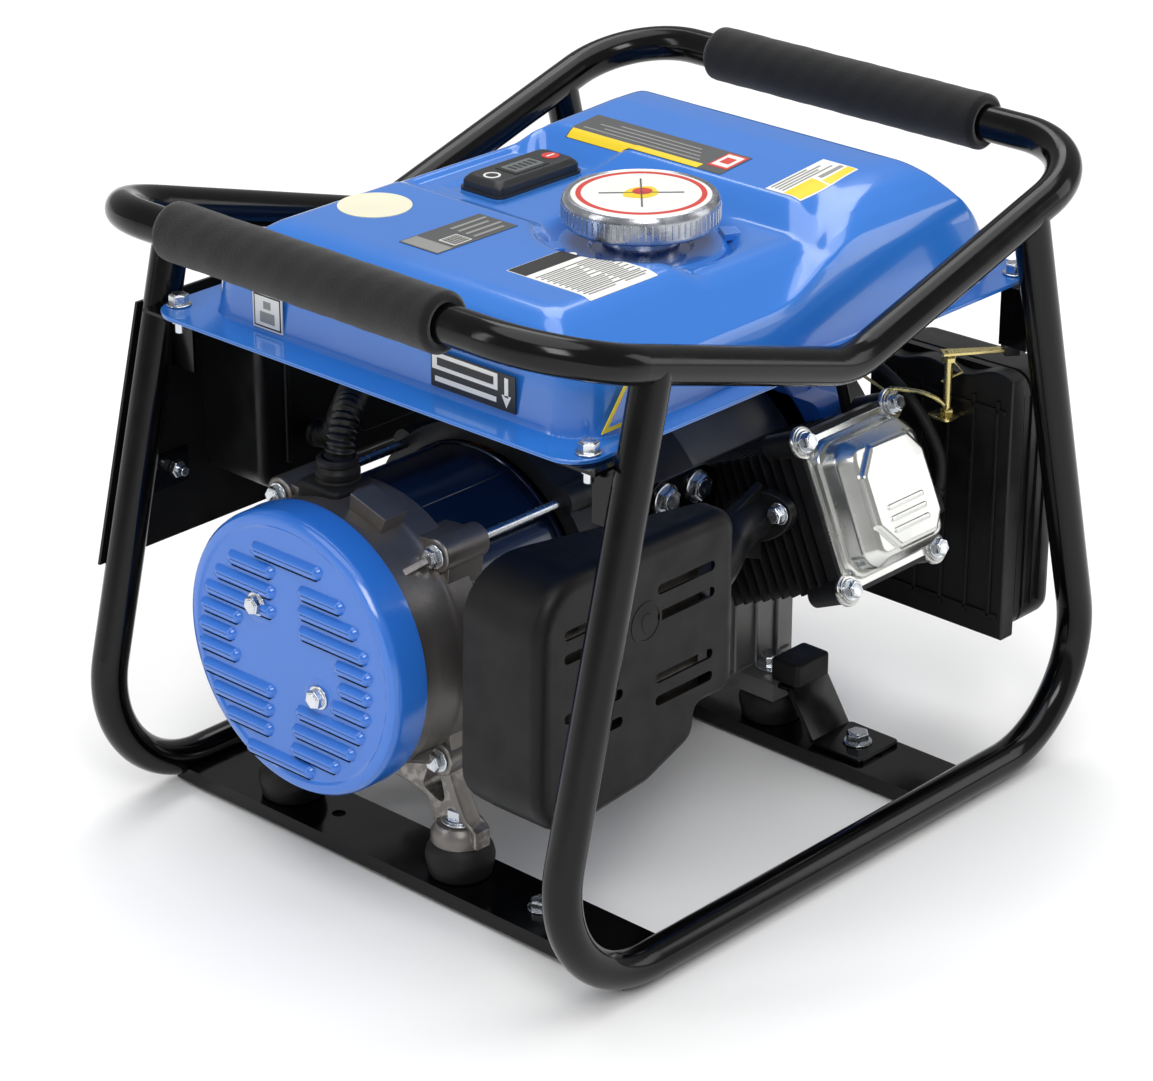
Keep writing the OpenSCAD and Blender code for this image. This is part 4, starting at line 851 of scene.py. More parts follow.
def make_foot():
    arc = [round_shaft(0, 83, a)[1:] for a in range(222, 319, 6)]
    left = [(-54, 34), (-54, 45), (-46, 50), (-38, 66)]
    right = [(2 * AXIS_Y - y, z) for y, z in reversed(left)]
    low = [(90, 45), (86, 48), (84, 56), (66, 60), (35, 62), (4, 60), (-14, 56), (-18, 48), (-20, 45),
           (-20, 34)]
    s = Shape()
    slab(s, (left + arc + right + [(90, 34)] + low)[::-1], "x", soft(-164.5, -152, 1.5, 1.5))
    for y in (-36, 106):
        s.lathe([(9, 33.5), (16.4, 33.5), (17.2, 34.6), (17, 40), (15, 43.5), (13.6, 45.4), (9, 45.4)],
                (-159, y, 0), UP, 44)
    holes = []
    for sg in (-1, 1):
        h = Shape()
        pts = fillet([(AXIS_Y + sg * 66, 54, 4), (AXIS_Y + sg * 46, 62, 4), (AXIS_Y + sg * 52, 78, 5),
                      (AXIS_Y + sg * 61, 76, 4)][::-sg], 4)
        h.prism(pts, "x", -170, -146)
        holes.append(h)
    piece(s, "alternator_foot_casting", "cast", node="alternator_foot", bevel=0.5,
          cuts=holes, angle=40, crossing=True)
    s = Shape()
    for x, y in MOUNTS:
        s.lathe([(8, 12.6), (17.2, 12.6), (18.6, 13.6), (19.2, 17), (20.4, 22), (20.6, 25), (19.6, 29),
                 (18.2, 31.6), (16.4, 33.4), (8, 33.4)], (x, y, 0), UP, 52)
    piece(s, "rubber_buffers", "rubber", node="rubber_mounts")
    s = Shape()
    for x, y in MOUNTS:
        z = 45.6 if x < 0 else 45.7
        s.lathe([(5, 0), (10.6, 0), (11, 0.4), (11, 1.5), (10.6, 1.9), (5, 1.9)], (x, y, z), UP, 40)
        s.bolt((x, y, z + 1.7), UP, 4.2, 6.0, turn=x)
        s.hexa((x, y, 3.4), UP, 7.4, 6.6, turn=0.4)
    piece(s, "mount_fasteners", "zinc", node="mount_bolts", bevel=0.3)
    s = Shape()
    for x, y in FEET:
        s.lathe([(0.01, 0), (11.4, 0), (12.6, 0.8), (13.9, 9.8), (13.2, 10.4), (0.01, 10.4)], (x, y, 0), UP,
                48)
    piece(s, "rubber_feet", "rubber", node="feet")


def make_conduit():
    route = [(-165, 52, 240), (-165, 51, 250), (-163, 51, 259), (-157, 54, 268), (-148, 59, 274),
             (-137, 67, 276), (-126, 77, 273), (-116, 89, 266), (-108, 101, 256), (-102, 112, 244),
             (-98, 121, 233), (-96, 129, 224), (-95.5, 136, 219.5), (-95.5, 143, 218), (-95.5, 149, 218)]
    s = Shape()
    s.tube(smooth_path(route, 0.75), lambda d: 8.0 + 0.95 * cos(2 * pi * d / 3.6), 22)
    piece(s, "corrugated_conduit", "plastic", node="conduit", angle=70)
    s = Shape()
    slab(s, rounded(-182, -150, 36, 70, 5, 5), "z", soft(226, 236.4, 0, 2.5))
    s.lathe([(13.5, 234), (13.5, 237.5), (12.6, 238.4), (12.6, 239.4), (13.2, 240.2), (13.2, 243),
             (12.2, 244), (11.6, 246), (12.3, 247), (12.3, 249.5), (11, 250.8), (9.3, 251), (9.3, 238)],
            (-165, 52, 0), UP, 40, closed=True)
    piece(s, "conduit_gland", "rubber", node="conduit_boot")


make_end_cover()
make_rear_bracket()
make_foot()
make_conduit()


# ------------------------------------------------------------------ muffler, guard and exhaust
def make_exhaust():
    out = fillet([(-207, 84, 30), (-118, 92, 30), (-78, 107, 14), (-76, 126, 5), (-45, 126, 11),
                  (-45, 240, 14), (-207, 243, 34)], 7)
    s = Shape()
    steps = [(9 * (1 - sin(pi / 2 * k / 6)), -146 + 9 * (1 - cos(pi / 2 * k / 6))) for k in range(7)]
    steps += [(0, -100), (0.8, -84)]
    slab(s, out, "y", steps)
    inner = Shape()
    slab(inner, inset(out, 1.8), "y", [(d * 0.8, h + 1.8) for d, h in steps[:-2]] + [(0, -60)])
    cuts = [inner]
    for x0, x1, z in ((-113, -65, 211), (-113, -65, 195), (-114, -66, 157), (-114, -66, 143),
                      (-188, -145, 209), (-188, -145, 195), (-188, -141, 159), (-188, -141, 142)):
        c = Shape()
        slab(c, pill((x0 + x1) / 2, z, x1 - x0, 6.2), "y", [(0, -152), (0, -138)])
        cuts.append(c)
    c = Shape()
    c.add([(-230, -78, 60), (-30, -126, 60), (-30, -40, 60), (-230, -40, 60),
           (-230, -84, 260), (-30, -134, 260), (-30, -40, 260), (-230, -40, 260)], BOX_FACES)
    cuts.append(c)
    c = Shape()
    c.cyl((-215, -104, 92), RIGHT, 5.2, 20, 24)
    cuts.append(c)
    piece(s, "muffler_heat_guard", "guard", node="muffler_guard", cuts=cuts, angle=32,
          crossing=True)
    s = Shape()
    s.lathe([(12.5, 0), (12.5, 0.35), (10.6, 0.35), (10.6, 0)], (-122, -145.95, 195), FRONT, 44,
            closed=True)
    slab(s, [(-122 + 5.4 * cos(t) * (0.75 + 0.25 * sin(t)), 194 + 6.6 * sin(t)) for t in angles(24)], "y",
         [(0, -145.9), (0.4, -146.35)])
    piece(s, "guard_pressed_marks", "guard")
    s = Shape()
    slab(s, rounded(-190, -66, 104, 226, 26, 6), "y", soft(-139, -97, 7, 9))
    for x in (-150, -90):
        s.cyl((x, -138, 130), FRONT, 5, 7.0, 24)
    piece(s, "muffler_canister", "muffler", node="muffler")
    s = Shape()
    path = smooth_path([(46, EX_Y, EX_Z), (34, EX_Y, EX_Z), (20, EX_Y - 3, EX_Z - 2),
                        (4, EX_Y - 11, EX_Z - 6), (-16, EX_Y - 20, EX_Z - 10), (-40, EX_Y - 28, EX_Z - 12),
                        (-68, EX_Y - 31, EX_Z - 12)], 2.5)
    s.tube(path, lambda d: 13.5 if d < 26 else max(11.0, 13.5 - (d - 26) * 0.2), 28)

    def flange_at(p, h):
        return (h, EX_Y + LEAN_SIN * p[1] - LEAN_COS * p[0], EX_Z + LEAN_COS * p[1] + LEAN_SIN * p[0])
    slab(s, [(29 * cos(t), 15.5 * sin(t)) for t in angles(40)], flange_at, soft(40.5, 47, 1, 1))
    for web in ([(43, EX_Z - 10), (43, EX_Z - 27), (8, EX_Z - 13)],
                [(43, EX_Z + 9), (43, EX_Z + 22), (14, EX_Z + 10)]):
        s.prism(web, "y", EX_Y - 3.6, EX_Y + 1.6)
    piece(s, "exhaust_elbow_casting", "head", bevel=0.8)


def head_at(u, v, h):
    """Point on the cylinder: u along the shaft, v across, h along the cylinder's own axis."""
    return Vector((99 + u, 27 + LEAN_SIN * v - LEAN_COS * h, 126 + LEAN_COS * v + LEAN_SIN * h))


def make_valve_cover():
    def put(p, h):
        return head_at(p[0], p[1], h)
    ax = head_at(0, 0, 1) - head_at(0, 0, 0)
    s = Shape()
    slab(s, rrect(-42, 42, -47, 47, 12, 6), put, [(0, 165.1), (0, 166.9), (0.5, 167.4)])
    for u in (-41, 41):
        for v in (-45.5, 45.5):
            s.lathe([(9.8, 0), (9.8, 1.9), (9.2, 2.5), (4, 2.5)], head_at(u, v, 165.1), ax, 36)
            s.lathe([(8.6, 2.2), (8.2, 3.4), (6.4, 3.6), (0.01, 3.6)], head_at(u, v, 165.1), ax, 36)
    slab(s, rrect(-38.6, 38.6, -42.5, 42.5, 13, 7), put,
         [(-1.0, 167.0), (0, 169.4), (0.6, 170.6), (1.8, 171.2), (3.0, 170.6), (3.8, 169.2)])
    wall = rrect(-36.4, 36.4, -40, 40, 14, 7)
    slab(s, wall, put, [(-2.2, 168), (-0.6, 169.4), (0, 171.5), (0.6, 180), (1.6, 183), (6.4, 188.6),
                        (8.0, 189.8), (10.4, 190.0)])
    top = fillet([(-28, -14, 4), (-14, -31, 4), (20, -31, 4), (29, -20, 4), (29, 19, 4), (19, 32, 4),
                  (-15, 32, 4), (-28, 17, 4)], 4)
    slab(s, top, put, [(-1.6, 189.4), (-0.5, 190.4), (0, 191.6), (0.6, 192.6), (1.8, 193.1), (3, 193.2)])
    for v in (-20, -13, -6):
        slab(s, pill(0, v, 34, 4.0), put, [(0, 192.8), (0.4, 193.6), (1.2, 193.8)])
    piece(s, "pressed_valve_cover", "cover_zinc", node="valve_cover", angle=50)
    s = Shape()
    for i, u in enumerate((-41, 41)):
        for v in (-45.5, 45.5):
            p = head_at(u, v, 168.7)
            s.bolt(p, ax, 3.0, 4.2, turn=i + v)
            s.cyl(p, -ax, 3.0, 16, 20)
    for d in (-21.5, 21.5):
        s.bolt((39.2, EX_Y + LEAN_COS * d, EX_Z - LEAN_SIN * d), LEFT, 3.0, 4.6)
    piece(s, "engine_fasteners", "zinc", node="engine_bolts", bevel=0.25)


make_exhaust()
make_valve_cover()


# ------------------------------------------------------------------ air cleaner, carburettor and levers
def make_intake():
    s = Shape()
    top = [(-168 + 108 * k / 24, 252 + 3.0 * sin(k * 0.55) + 2.0 * sin(k * 0.23 + 1)) for k in range(25)]
    slab(s, [(-60, 84), *reversed(top), (-168, 84)], "x",
         [(0.8, 178.6), (0, 179.6), (0, 190.6), (0.8, 191.4)])
    for y in (-158, -140, -121, -101, -80):
        s.box(176.9, 180, y - 1.3, y + 1.3, 96, 240)
    s.box(176.9, 180, -164, -64, 232, 235)
    s.box(176.9, 180, -164, -64, 98, 101)
    s.lathe([(22, 0), (22, 1.4), (17, 1.8), (17, 0)], (179, EX_Y, EX_Z), LEFT, 40, closed=True)
    piece(s, "air_cleaner_back", "plastic", node="air_cleaner_base", bevel=0.5)
    s = Shape()
    body = fillet([(-167.5, 86, 12), (-60.5, 86, 12), (-60.5, 252, 13), (-167.5, 254, 13)], 6)
    slab(s, body, "x", [(0, 191.6), (0, 197), (1.4, 197.6), (1.4, 199), (0, 199.6), (0, 222), (1.0, 226),
                        (3.2, 229.4), (6, 231.4), (9, 232)])
    for k in range(7):
        slab(s, pill(-114, 130 + k * 13, 76 - abs(k - 3) * 4, 5.0), "x",
             [(0, 231), (0.4, 232.8), (1.6, 233.3)])
    slab(s, rounded(-70, -62, 150, 190, 3), "x", soft(190, 236, 0, 2))
    for z in (112, 232):
        s.cyl((231, -114, z), RIGHT, 7, 3.2, 30)
    for x0 in (198.2, 206.5, 214.8):
        s.box(x0, x0 + 2.2, -168.6, -166, 100, 240)
    piece(s, "air_cleaner_shell", "plastic", node="air_cleaner_cover", bevel=0.5)
    s = Shape()
    s.lathe([(15, 0), (16.4, 1.2), (16.4, 5), (14.2, 6.4), (14.2, 20), (16.2, 21.6), (16.2, 27.2),
             (9, 27.2), (9, 0)], (151.1, EX_Y, EX_Z), RIGHT, 44, closed=True)
    s.lathe([(0.01, -42.6), (4, -42.6), (4.6, -41), (9.4, -40), (11, -38), (11.2, -15), (12.4, -13.8),
             (12.4, -8.6), (10, -7)], (164, EX_Y, EX_Z), UP, 40)
    s.lathe([(9.6, 3), (9.6, 17.2), (8.4, 19.8), (4, 20.2), (0.01, 20.2)], (164, EX_Y, EX_Z), UP, 36)
    s.lathe([(3.2, 0), (3.2, 10), (3.9, 11), (3.0, 14), (3.8, 15), (2.8, 20)], (164, EX_Y + 2, EX_Z + 12),
            BACK, 24)
    s.hexa((164, EX_Y, EX_Z - 44.6), UP, 5.4, 3)
    slab(s, rounded(-112, -60, 166, 208, 4, 4), "x", soft(152, 155, 0, 0.6))
    s.cyl((164, EX_Y - 14, EX_Z), FRONT, 4.6, 6, 24)
    piece(s, "carburettor_body", "cast2", node="carburettor", bevel=0.4)
    s = Shape()
    s.cyl((170, -126, 226), UP, 2.5, 40.5, 24)
    s.hexa((170, -126, 226), UP, 4.6, 3.4)
    s.hexa((170, -126, 259.4), UP, 4.8, 3.6)

    def level_arm(cx, cy, deg, pts, z0, z1, mat=0):
        t = radians(deg)
        s.prism([(cx + a * cos(t) - b * sin(t), cy + a * sin(t) + b * cos(t)) for a, b in pts], "z", z0, z1,
                mat)
    level_arm(170, -126, -38, [(-4.4, -4.4), (36, -3.2), (39.2, 0), (36, 3.2), (-4.4, 4.4)], 264.0, 265.6)
    level_arm(170, -126, -38, [(33, -5.2), (42, -5.6), (46.4, -2.5), (46.4, 2.5), (42, 5.6), (33, 5.2)],
              262.2, 268, 1)
    piece(s, "choke_control", ["yzinc", "plastic"], body="choke", node="choke_lever",
          bevel=0.4)
    s = Shape()
    s.cyl((128, 20, 200), UP, 3.0, 40, 24)
    level_arm(128, 20, -62, [(-6, -6), (46, -3.2), (49.2, 0), (46, 3.2), (-6, 6)], 236.0, 237.8)
    s.hexa((128, 20, 238), UP, 5.2, 3.2)
    s.cyl((128 + 44 * cos(radians(-62)), 20 + 44 * sin(radians(-62)), 232.5), UP, 1.6, 8, 16)
    piece(s, "governor_lever", "yzinc", body="governor", node="governor_arm", bevel=0.3)
    s = Shape()
    s.tube([(164, -92, 206), (164, -90, 228), (158, -70, 239), (151, -30, 240)], 1.1, 10)
    s.tube([(172, -120, 244), (176, -132, 252), (182, -120, 254)], 1.0, 10)
    spring = [(150 - 14 * t + 2 * cos(t * 70), -32 + 26 * t + 2 * sin(t * 70), 241 - t)
              for t in (k / 220 for k in range(221))]
    s.tube(spring, 0.45, 8)
    slab(s, rounded(160, 180, -134, -118, 3), "z", soft(224.5, 226.2, 0, 0.5))
    s.tube(smooth_path([(164, -127, 227), (156, -134, 238), (146, -126, 246), (142, -104, 244)], 3), 1.3,
           10)
    piece(s, "control_linkage", "yzinc", bevel=0.2)


def make_casting_details():
    s = Shape()
    slab(s, rounded(44.4, 149.6, -29, 97, 6, 4), "z",
         [(1, 39.8), (0, 40.6), (0, 46.4), (1, 47.2)])
    for xs, steps in (((54, 96, 118, 140), [(0, 94.5), (0, 96.6), (0.8, 97.4)]),
                      ((54, 74, 94, 114, 134), [(0.8, -29.4), (0, -28.6), (0, -26.5)])):
        for x in xs:
            slab(s, rounded(x - 1.8, x + 1.8, 46, 105, 1.6), "y", steps)
    s.lathe([(9, 0), (9, 1.4), (7.6, 2)], (118, 94.6, 62), BACK, 40)
    s.hexa((118, 96.4, 62), BACK, 7, 5)
    piece(s, "crankcase_ribs", "cast2", bevel=0.3)
    s = Shape()
    slab(s, fillet([(-24, 184, 3), (34, 184, 3), (38, 212, 9), (24, 219, 9), (-18, 219, 9), (-28, 206, 8)],
                   5), "y", soft(-60, -57.6, 0, 0.6))
    slab(s, rounded(-24, 34, -60, -31, 2), "z", soft(184, 186.4, 0, 0.6))
    piece(s, "muffler_hanger", "black", bevel=0.4)
    s = Shape()
    for x in (-10, 18):
        s.bolt((x, -60, 207), FRONT, 4.4, 4.4)
        s.hexa((x, -57.6, 207), BACK, 6.6, 4)
    piece(s, "hanger_bolts", "zinc")


def make_ignition():
    base, d = Vector((135, -107.2, 163.9)), Vector((0.643, -0.70, 0.3115)).normalized()
    s = Shape()
    s.lathe([(5, -14), (5, 0), (8.4, 0), (8.4, 4), (6.0, 4.4), (5.4, 6)], base, d, 30, 0)
    s.hexa(base + d * 3.5, d, 9.2, 6)
    s.lathe([(5.6, 9), (5.6, 14), (4.6, 15), (4.6, 22), (3, 23), (3, 30)], base, d, 30, 1)
    piece(s, "plug_body", ["zinc", "ceramic"], node="spark_plug", bevel=0.2)
    s = Shape()
    s.lathe([(6.5, 11), (8.8, 11.6), (9.2, 14), (8.4, 17), (8.4, 26), (9.2, 28), (9.2, 34), (7.6, 37.4),
             (0.01, 38)], base, d, 36)
    route = [(156.5, -129, 176.5), (159, -130.5, 182), (160, -131, 190), (160, -130, 202), (158, -124, 216),
             (156, -112, 232), (154, -96, 245), (154, -78, 252), (154, -60, 254), (154, -30, 252),
             (154, -10, 248), (154, 8, 244), (154, 23, 242)]
    s.tube(smooth_path(route, 3), 3.5, 18)
    s.tube(smooth_path([base + d * 31, Vector((154.5, -130.5, 175)), Vector(route[0]), Vector(route[1])],
                       2), lambda t: 6.4 - 0.12 * t, 20)
    slab(s, rounded(151, 171, 22, 48, 3, 4), "z", soft(236.2, 248, 1, 2))
    for k in range(5):
        s.box(151.4 + k * 4, 153 + k * 4, 24, 46, 247.5, 249.2)
    piece(s, "ignition_lead", "rubber", node="plug_lead")
    s = Shape()
    hose = [(140, 118, 271.9), (140, 118, 268.5), (140, 117.3, 265), (140, 115.4, 262), (140, 112.4, 260),
            (140, 109, 259.3), (141, 100, 259.5), (144, 84, 260.5), (150, 58, 261), (155, 32, 262),
            (160, 6, 262), (163, -12, 260), (164, -26, 254), (164, -37, 245), (164, -44, 236),
            (164, -50, 224), (164, -53, 214), (164, -56, 205.5), (164, -59.5, 200.8), (164, -63.6, 199.2)]
    s.tube(smooth_path(hose, 3), 3.6, 20)
    piece(s, "fuel_line", "rubber", node="fuel_hose")
    s = Shape()
    for p, ax in (((140, 118, 270.2), DOWN), ((164, -62, 199.6), (0, 1, 0.35))):
        s.lathe([(3.7, 0), (4.6, 0.2), (4.6, 3.4), (3.7, 3.6)], p, ax, 28, closed=True)
        u, v, w = basis(ax)
        q = Vector(p) + w * 1.8 + u * 5.6
        s.cyl(q - v * 3, v, 1.4, 6, 14)
    piece(s, "hose_clips", "zinc")


make_intake()
make_ignition()
make_casting_details()


# ------------------------------------------------------------------ frame bolts, channels and stay bracket
def make_frame_details():
    s = Shape()
    for x in (-184.5, 184.5):
        for y in (-160.3, 160.3):
            s.bolt((x, y, 319.7), UP, 3.2, 5.4, turn=x + y)
            s.cyl((x, y, 319.7), DOWN, 3.0, 17, 20)
            s.hexa((x, y, 309.5), UP, 5.7, 4.8, turn=0.6)
    for x, z in ((-165, 202), (165, 202), (-150, 290), (150, 290)):
        s.bolt((x, 198.4, z), BACK, 3.0, 2.2)
        s.cyl((x, 198.4, z), FRONT, 3.0, 14, 20)
        s.hexa((x, 193.8, z), FRONT, 5.6, 4.6)
    piece(s, "tank_and_panel_fasteners", "zinc", node="frame_bolts", bevel=0.3)
    s = Shape()
    slab(s, rounded(100, 140, -124, -84, 4), "z", soft(12.6, 15.4, 0, 0.8))
    s.loft([[(x, -86, 14), (x, -84, 12.8), (x, -62, 44), (x, -66, 45)] for x in (102, 138)])
    s.loft([[(x, y, z) for y, z in ((-66, 42), (-44, 42), (-44, 45), (-66, 45))] for x in (102, 138)])
    slab(s, rounded(104, 136, -70, -48, 3), "z", soft(45, 60, 1, 2), 1)
    piece(s, "engine_stay_bracket", ["black", "rubber"], bevel=0.6)
    s = Shape()
    s.bolt((120, -106, 15.5), UP, 4.0, 5.6)
    s.bolt((-159, -100, 12.6), UP, 3.4, 4.6)
    s.bolt((118, 140, 12.6), UP, 3.4, 4.6)
    piece(s, "channel_fasteners", "zinc", bevel=0.3)
    s = Shape()
    for x in (-159, 118):
        for sg in (-1, 1):
            s.loft([[(x + sg * 23.4, y, z) for y, z in ((-168, 3.6), (168, 3.6), (172, 12.2),
                                                        (-172, 12.2))],
                    [(x + sg * 21.4, y, z) for y, z in ((-168, 3.6), (168, 3.6), (172, 12.6),
                                                        (-172, 12.6))]])
    piece(s, "channel_lips", "black", bevel=0.5)


make_frame_details()


# ------------------------------------------------------------------ control panel
def make_panel():
    s = Shape()
    back = rounded(-138.5, 138.5, 190, 305, 14, 7)
    slab(s, back, "y", soft(196.2, 145, 0, 6, 5))
    for x in (-118, 118):
        slab(s, rrect(x - 2, x + 2, 205, 290, 1.9, 4), "y", [(0, 152), (0, 143.6), (0.8, 143.0)])
    slab(s, rounded(-60, 90, 206, 288, 6, 4), "y", [(0, 148), (0, 143.8), (1.4, 143.2)])
    piece(s, "panel_rear_box", "plastic", node="panel_box", bevel=0.4)
    s = Shape()
    for x in (-100, -38):
        rim = rounded(x - 25, x + 25, 227, 277, 5, 5)
        slab(s, rim, "y", [(0.0, 198.32), (0, 198.9), (0.3, 199.1)])
        s.lathe([(19.6, -34), (19.6, 0.4), (18.2, 0.8), (17.2, -1), (16.4, -9), (0.01, -9.2)],
                (x, 198.3, 252), BACK, 56)
        # flat black pin slots at the bottom of each socket are painted shade standing in for the holes
        for dx, dz in ((-7.5, -2), (7.5, -2), (0, 7.5)):
            slab(s, rrect(x + dx - 1.2, x + dx + 1.2, 252 + dz - 4, 252 + dz + 4, 0.6, 2), "y",
                 [(0, 189), (0, 189.35)], 1)
        for side in (-1, 1):
            s.cyl((x + side * 21.5, 199.0, 230.5), BACK, 1.8, 0.9, 16, mat=2)
            s.box(x + side * 12 - 3, x + side * 12 + 3, 199.0, 200.6, 273.4, 275.6)
    piece(s, "outlet_bodies", ["plastic2", "painted_shade", "zinc"], node="ac_sockets",
          bevel=0.15)
    for name, x, body in (("left_socket_lid", -100, "left_lid"), ("right_socket_lid", -38, "right_lid")):
        s = Shape()
        lid = fillet([(x - 22, 229.2, 6), (x + 22, 229.2, 6), (x + 22, 272.4, 3), (x - 22, 272.4, 3)], 5)
        slab(s, lid, "y", [(0.2, 199.4), (0, 199.7), (0, 201.0), (0.5, 201.7), (1.4, 201.95)])
        slab(s, rounded(x - 18, x + 18, 236, 268.5, 4, 5), "y",
             [(0, 201.6), (0.4, 202.0), (1.2, 202.1)])
        for k in range(3):
            s.box(x - 8, x + 8, 201.8, 202.3, 231.4 + 2.2 * k, 232.5 + 2.2 * k)
        s.lathe([(0.01, 0), (1.3, 0), (1.3, 44), (0.01, 44)], (x - 22, 200.65, 273.5), RIGHT, 20)
        s.lathe([(5.4, 0), (5.4, 0.35), (4.6, 0.35), (4.6, 0)], (x, 202.0, 254), BACK, 32, closed=True)
        piece(s, name + "_cover", "plastic", body=body, node=name, bevel=0.12)
    s = Shape()
    s.lathe([(24, 0), (24, 2.0), (23, 3.4), (21, 3.6), (20, 2.6), (20, 0.4), (0.01, 0.4)],
            (24, PANEL_Y, 252), BACK, 72)
    s.lathe([(19.9, 0.3), (19.9, 0.9), (0.01, 0.95)], (24, PANEL_Y, 252), BACK, 64, 1)
    for k in range(13):
        a = radians(205 - k * 19)
        d, e = Vector((cos(a), 0, sin(a))), Vector((-sin(a), 0, cos(a)))
        r0, w = (14.2, 0.25) if k % 3 else (12.4, 0.45)
        s.loft([[Vector((24, y, 249)) + d * r + e * q
                 for r, q in ((r0, -w), (16.6, -w), (16.6, w), (r0, w))] for y in (199.2, 199.5)], 2)
    s.loft([[(23.3, y, 247), (24.7, y, 247), (33, y, 262.6), (32.4, y, 262.8)] for y in (199.6, 199.9)], 3)
    s.lathe([(3.4, 0.8), (3.4, 1.9), (0.01, 2.0)], (24, PANEL_Y, 248), BACK, 24, 0)
    s.cyl((24, 198, 252), FRONT, 18, 26, 40)
    piece(s, "voltmeter_dial", ["plastic", "white", "black_ink", "red"], node="voltmeter",
          bevel=0.12)
    s = Shape()
    s.lathe([(12, 0), (12, 1.0), (11, 1.6), (7.4, 1.6), (7.4, 3.2), (5.3, 3.4), (5.3, 0)],
            (70, PANEL_Y, 252), BACK, 44, closed=True)
    s.hexa((70, 199.6, 252), BACK, 10.4, 1.4)
    s.cyl((70, 196.2, 252), FRONT, 8, 26, 32)
    piece(s, "breaker_body", "plastic2", node="circuit_breaker", bevel=0.15)
    y0, y1 = (p.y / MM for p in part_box("breaker_button"))
    s = Shape()
    s.lathe([(4.9, y0), (4.9, y1 - 0.9), (4.2, y1 - 0.2), (3.0, y1), (0.01, y1)], (70, 0, 252), BACK, 36)
    piece(s, "reset_knob", "red_plastic", body="reset_button", node="breaker_button")
    y1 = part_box("engine_switch")[1].y / MM
    s = Shape()
    prof = [(-12.4, -7), (12.4, -7), (13.0, -1), (12.4, 2.6), (6, 1.7), (0, 0.9), (-6, 1.9), (-12.4, 3.4),
            (-13.0, -1)]
    s.loft([[(x, y1 - 3.6 + b, 252 + a) for a, b in prof] for x in (102.9, 103.5, 120.5, 121.1)])
    s.box(110.8, 113.2, y1 - 0.9, y1 - 0.2, 257.5, 262.2, 1)
    s.lathe([(3.0, 0), (3.0, 0.45), (2.1, 0.45), (2.1, 0)], (112, y1 - 1.7, 246.2), BACK, 24, 1,
            closed=True)
    piece(s, "rocker_cap", ["red_plastic", "white"], body="rocker", node="engine_switch",
          bevel=0.5)
    s = Shape()
    rim = rounded(99.6, 124.4, 236, 268, 3, 4)
    hole = Shape()
    hole.box(101.6, 122.4, 190, 210, 238.2, 265.8)
    slab(s, rim, "y", [(0, PANEL_Y), (0, 199.3), (0.6, 199.9)])
    piece(s, "switch_bezel", "plastic", cuts=[hole])
    s = Shape()
    for k, x in enumerate((60, 82, 104)):
        s.lathe([(7, 0), (7, 1.2), (3.2, 1.6), (3.2, 2.2)], (x, PANEL_Y, 212), BACK, 36, 0)
        s.lathe([(5.4, 1.4), (5.6, 2.0), (5.6, 3.6), (4.8, 4.2), (0.01, 4.2)], (x, PANEL_Y, 212), BACK, 28,
                1 + k)
        s.cyl((x, 198, 212), FRONT, 2.4, 14, 20)
        s.hexa((x, 196, 212), FRONT, 4.6, 3.4)
    piece(s, "dc_binding_posts", ["brass", "red_plastic", "plastic", "zinc"], node="dc_terminals",
          bevel=0.15)
    s = Shape()
    for x0, x1, z0, z1, m in ((-126, -18, 283, 296, 0), (58, 126, 226, 229, 1), (-10, 46, 283, 296, 0),
                              (-120, -20, 176, 196, 0), (20, 120, 176, 192, 1)):
        slab(s, rounded(x0, x1, z0, z1, 1.2), "y", [(0, 198.3), (0, 198.55)], m)
    for k in range(3):
        s.box(-116, -26 - k * 13, 198.5, 198.7, 191 - k * 5, 192.2 - k * 5, 2)
        s.box(26, 110 - k * 11, 198.5, 198.7, 188.4 - k * 4.4, 189.4 - k * 4.4, 3)
    for k in range(2):
        s.box(-120, -34 + k * 8, 198.5, 198.7, 286 + k * 5, 287.2 + k * 5, 2)
    s.box(-6, 40, 198.5, 198.7, 289, 290.4, 2)
    piece(s, "panel_plain_labels", ["white", "yellow", "mid_ink", "black_ink"])


make_panel()


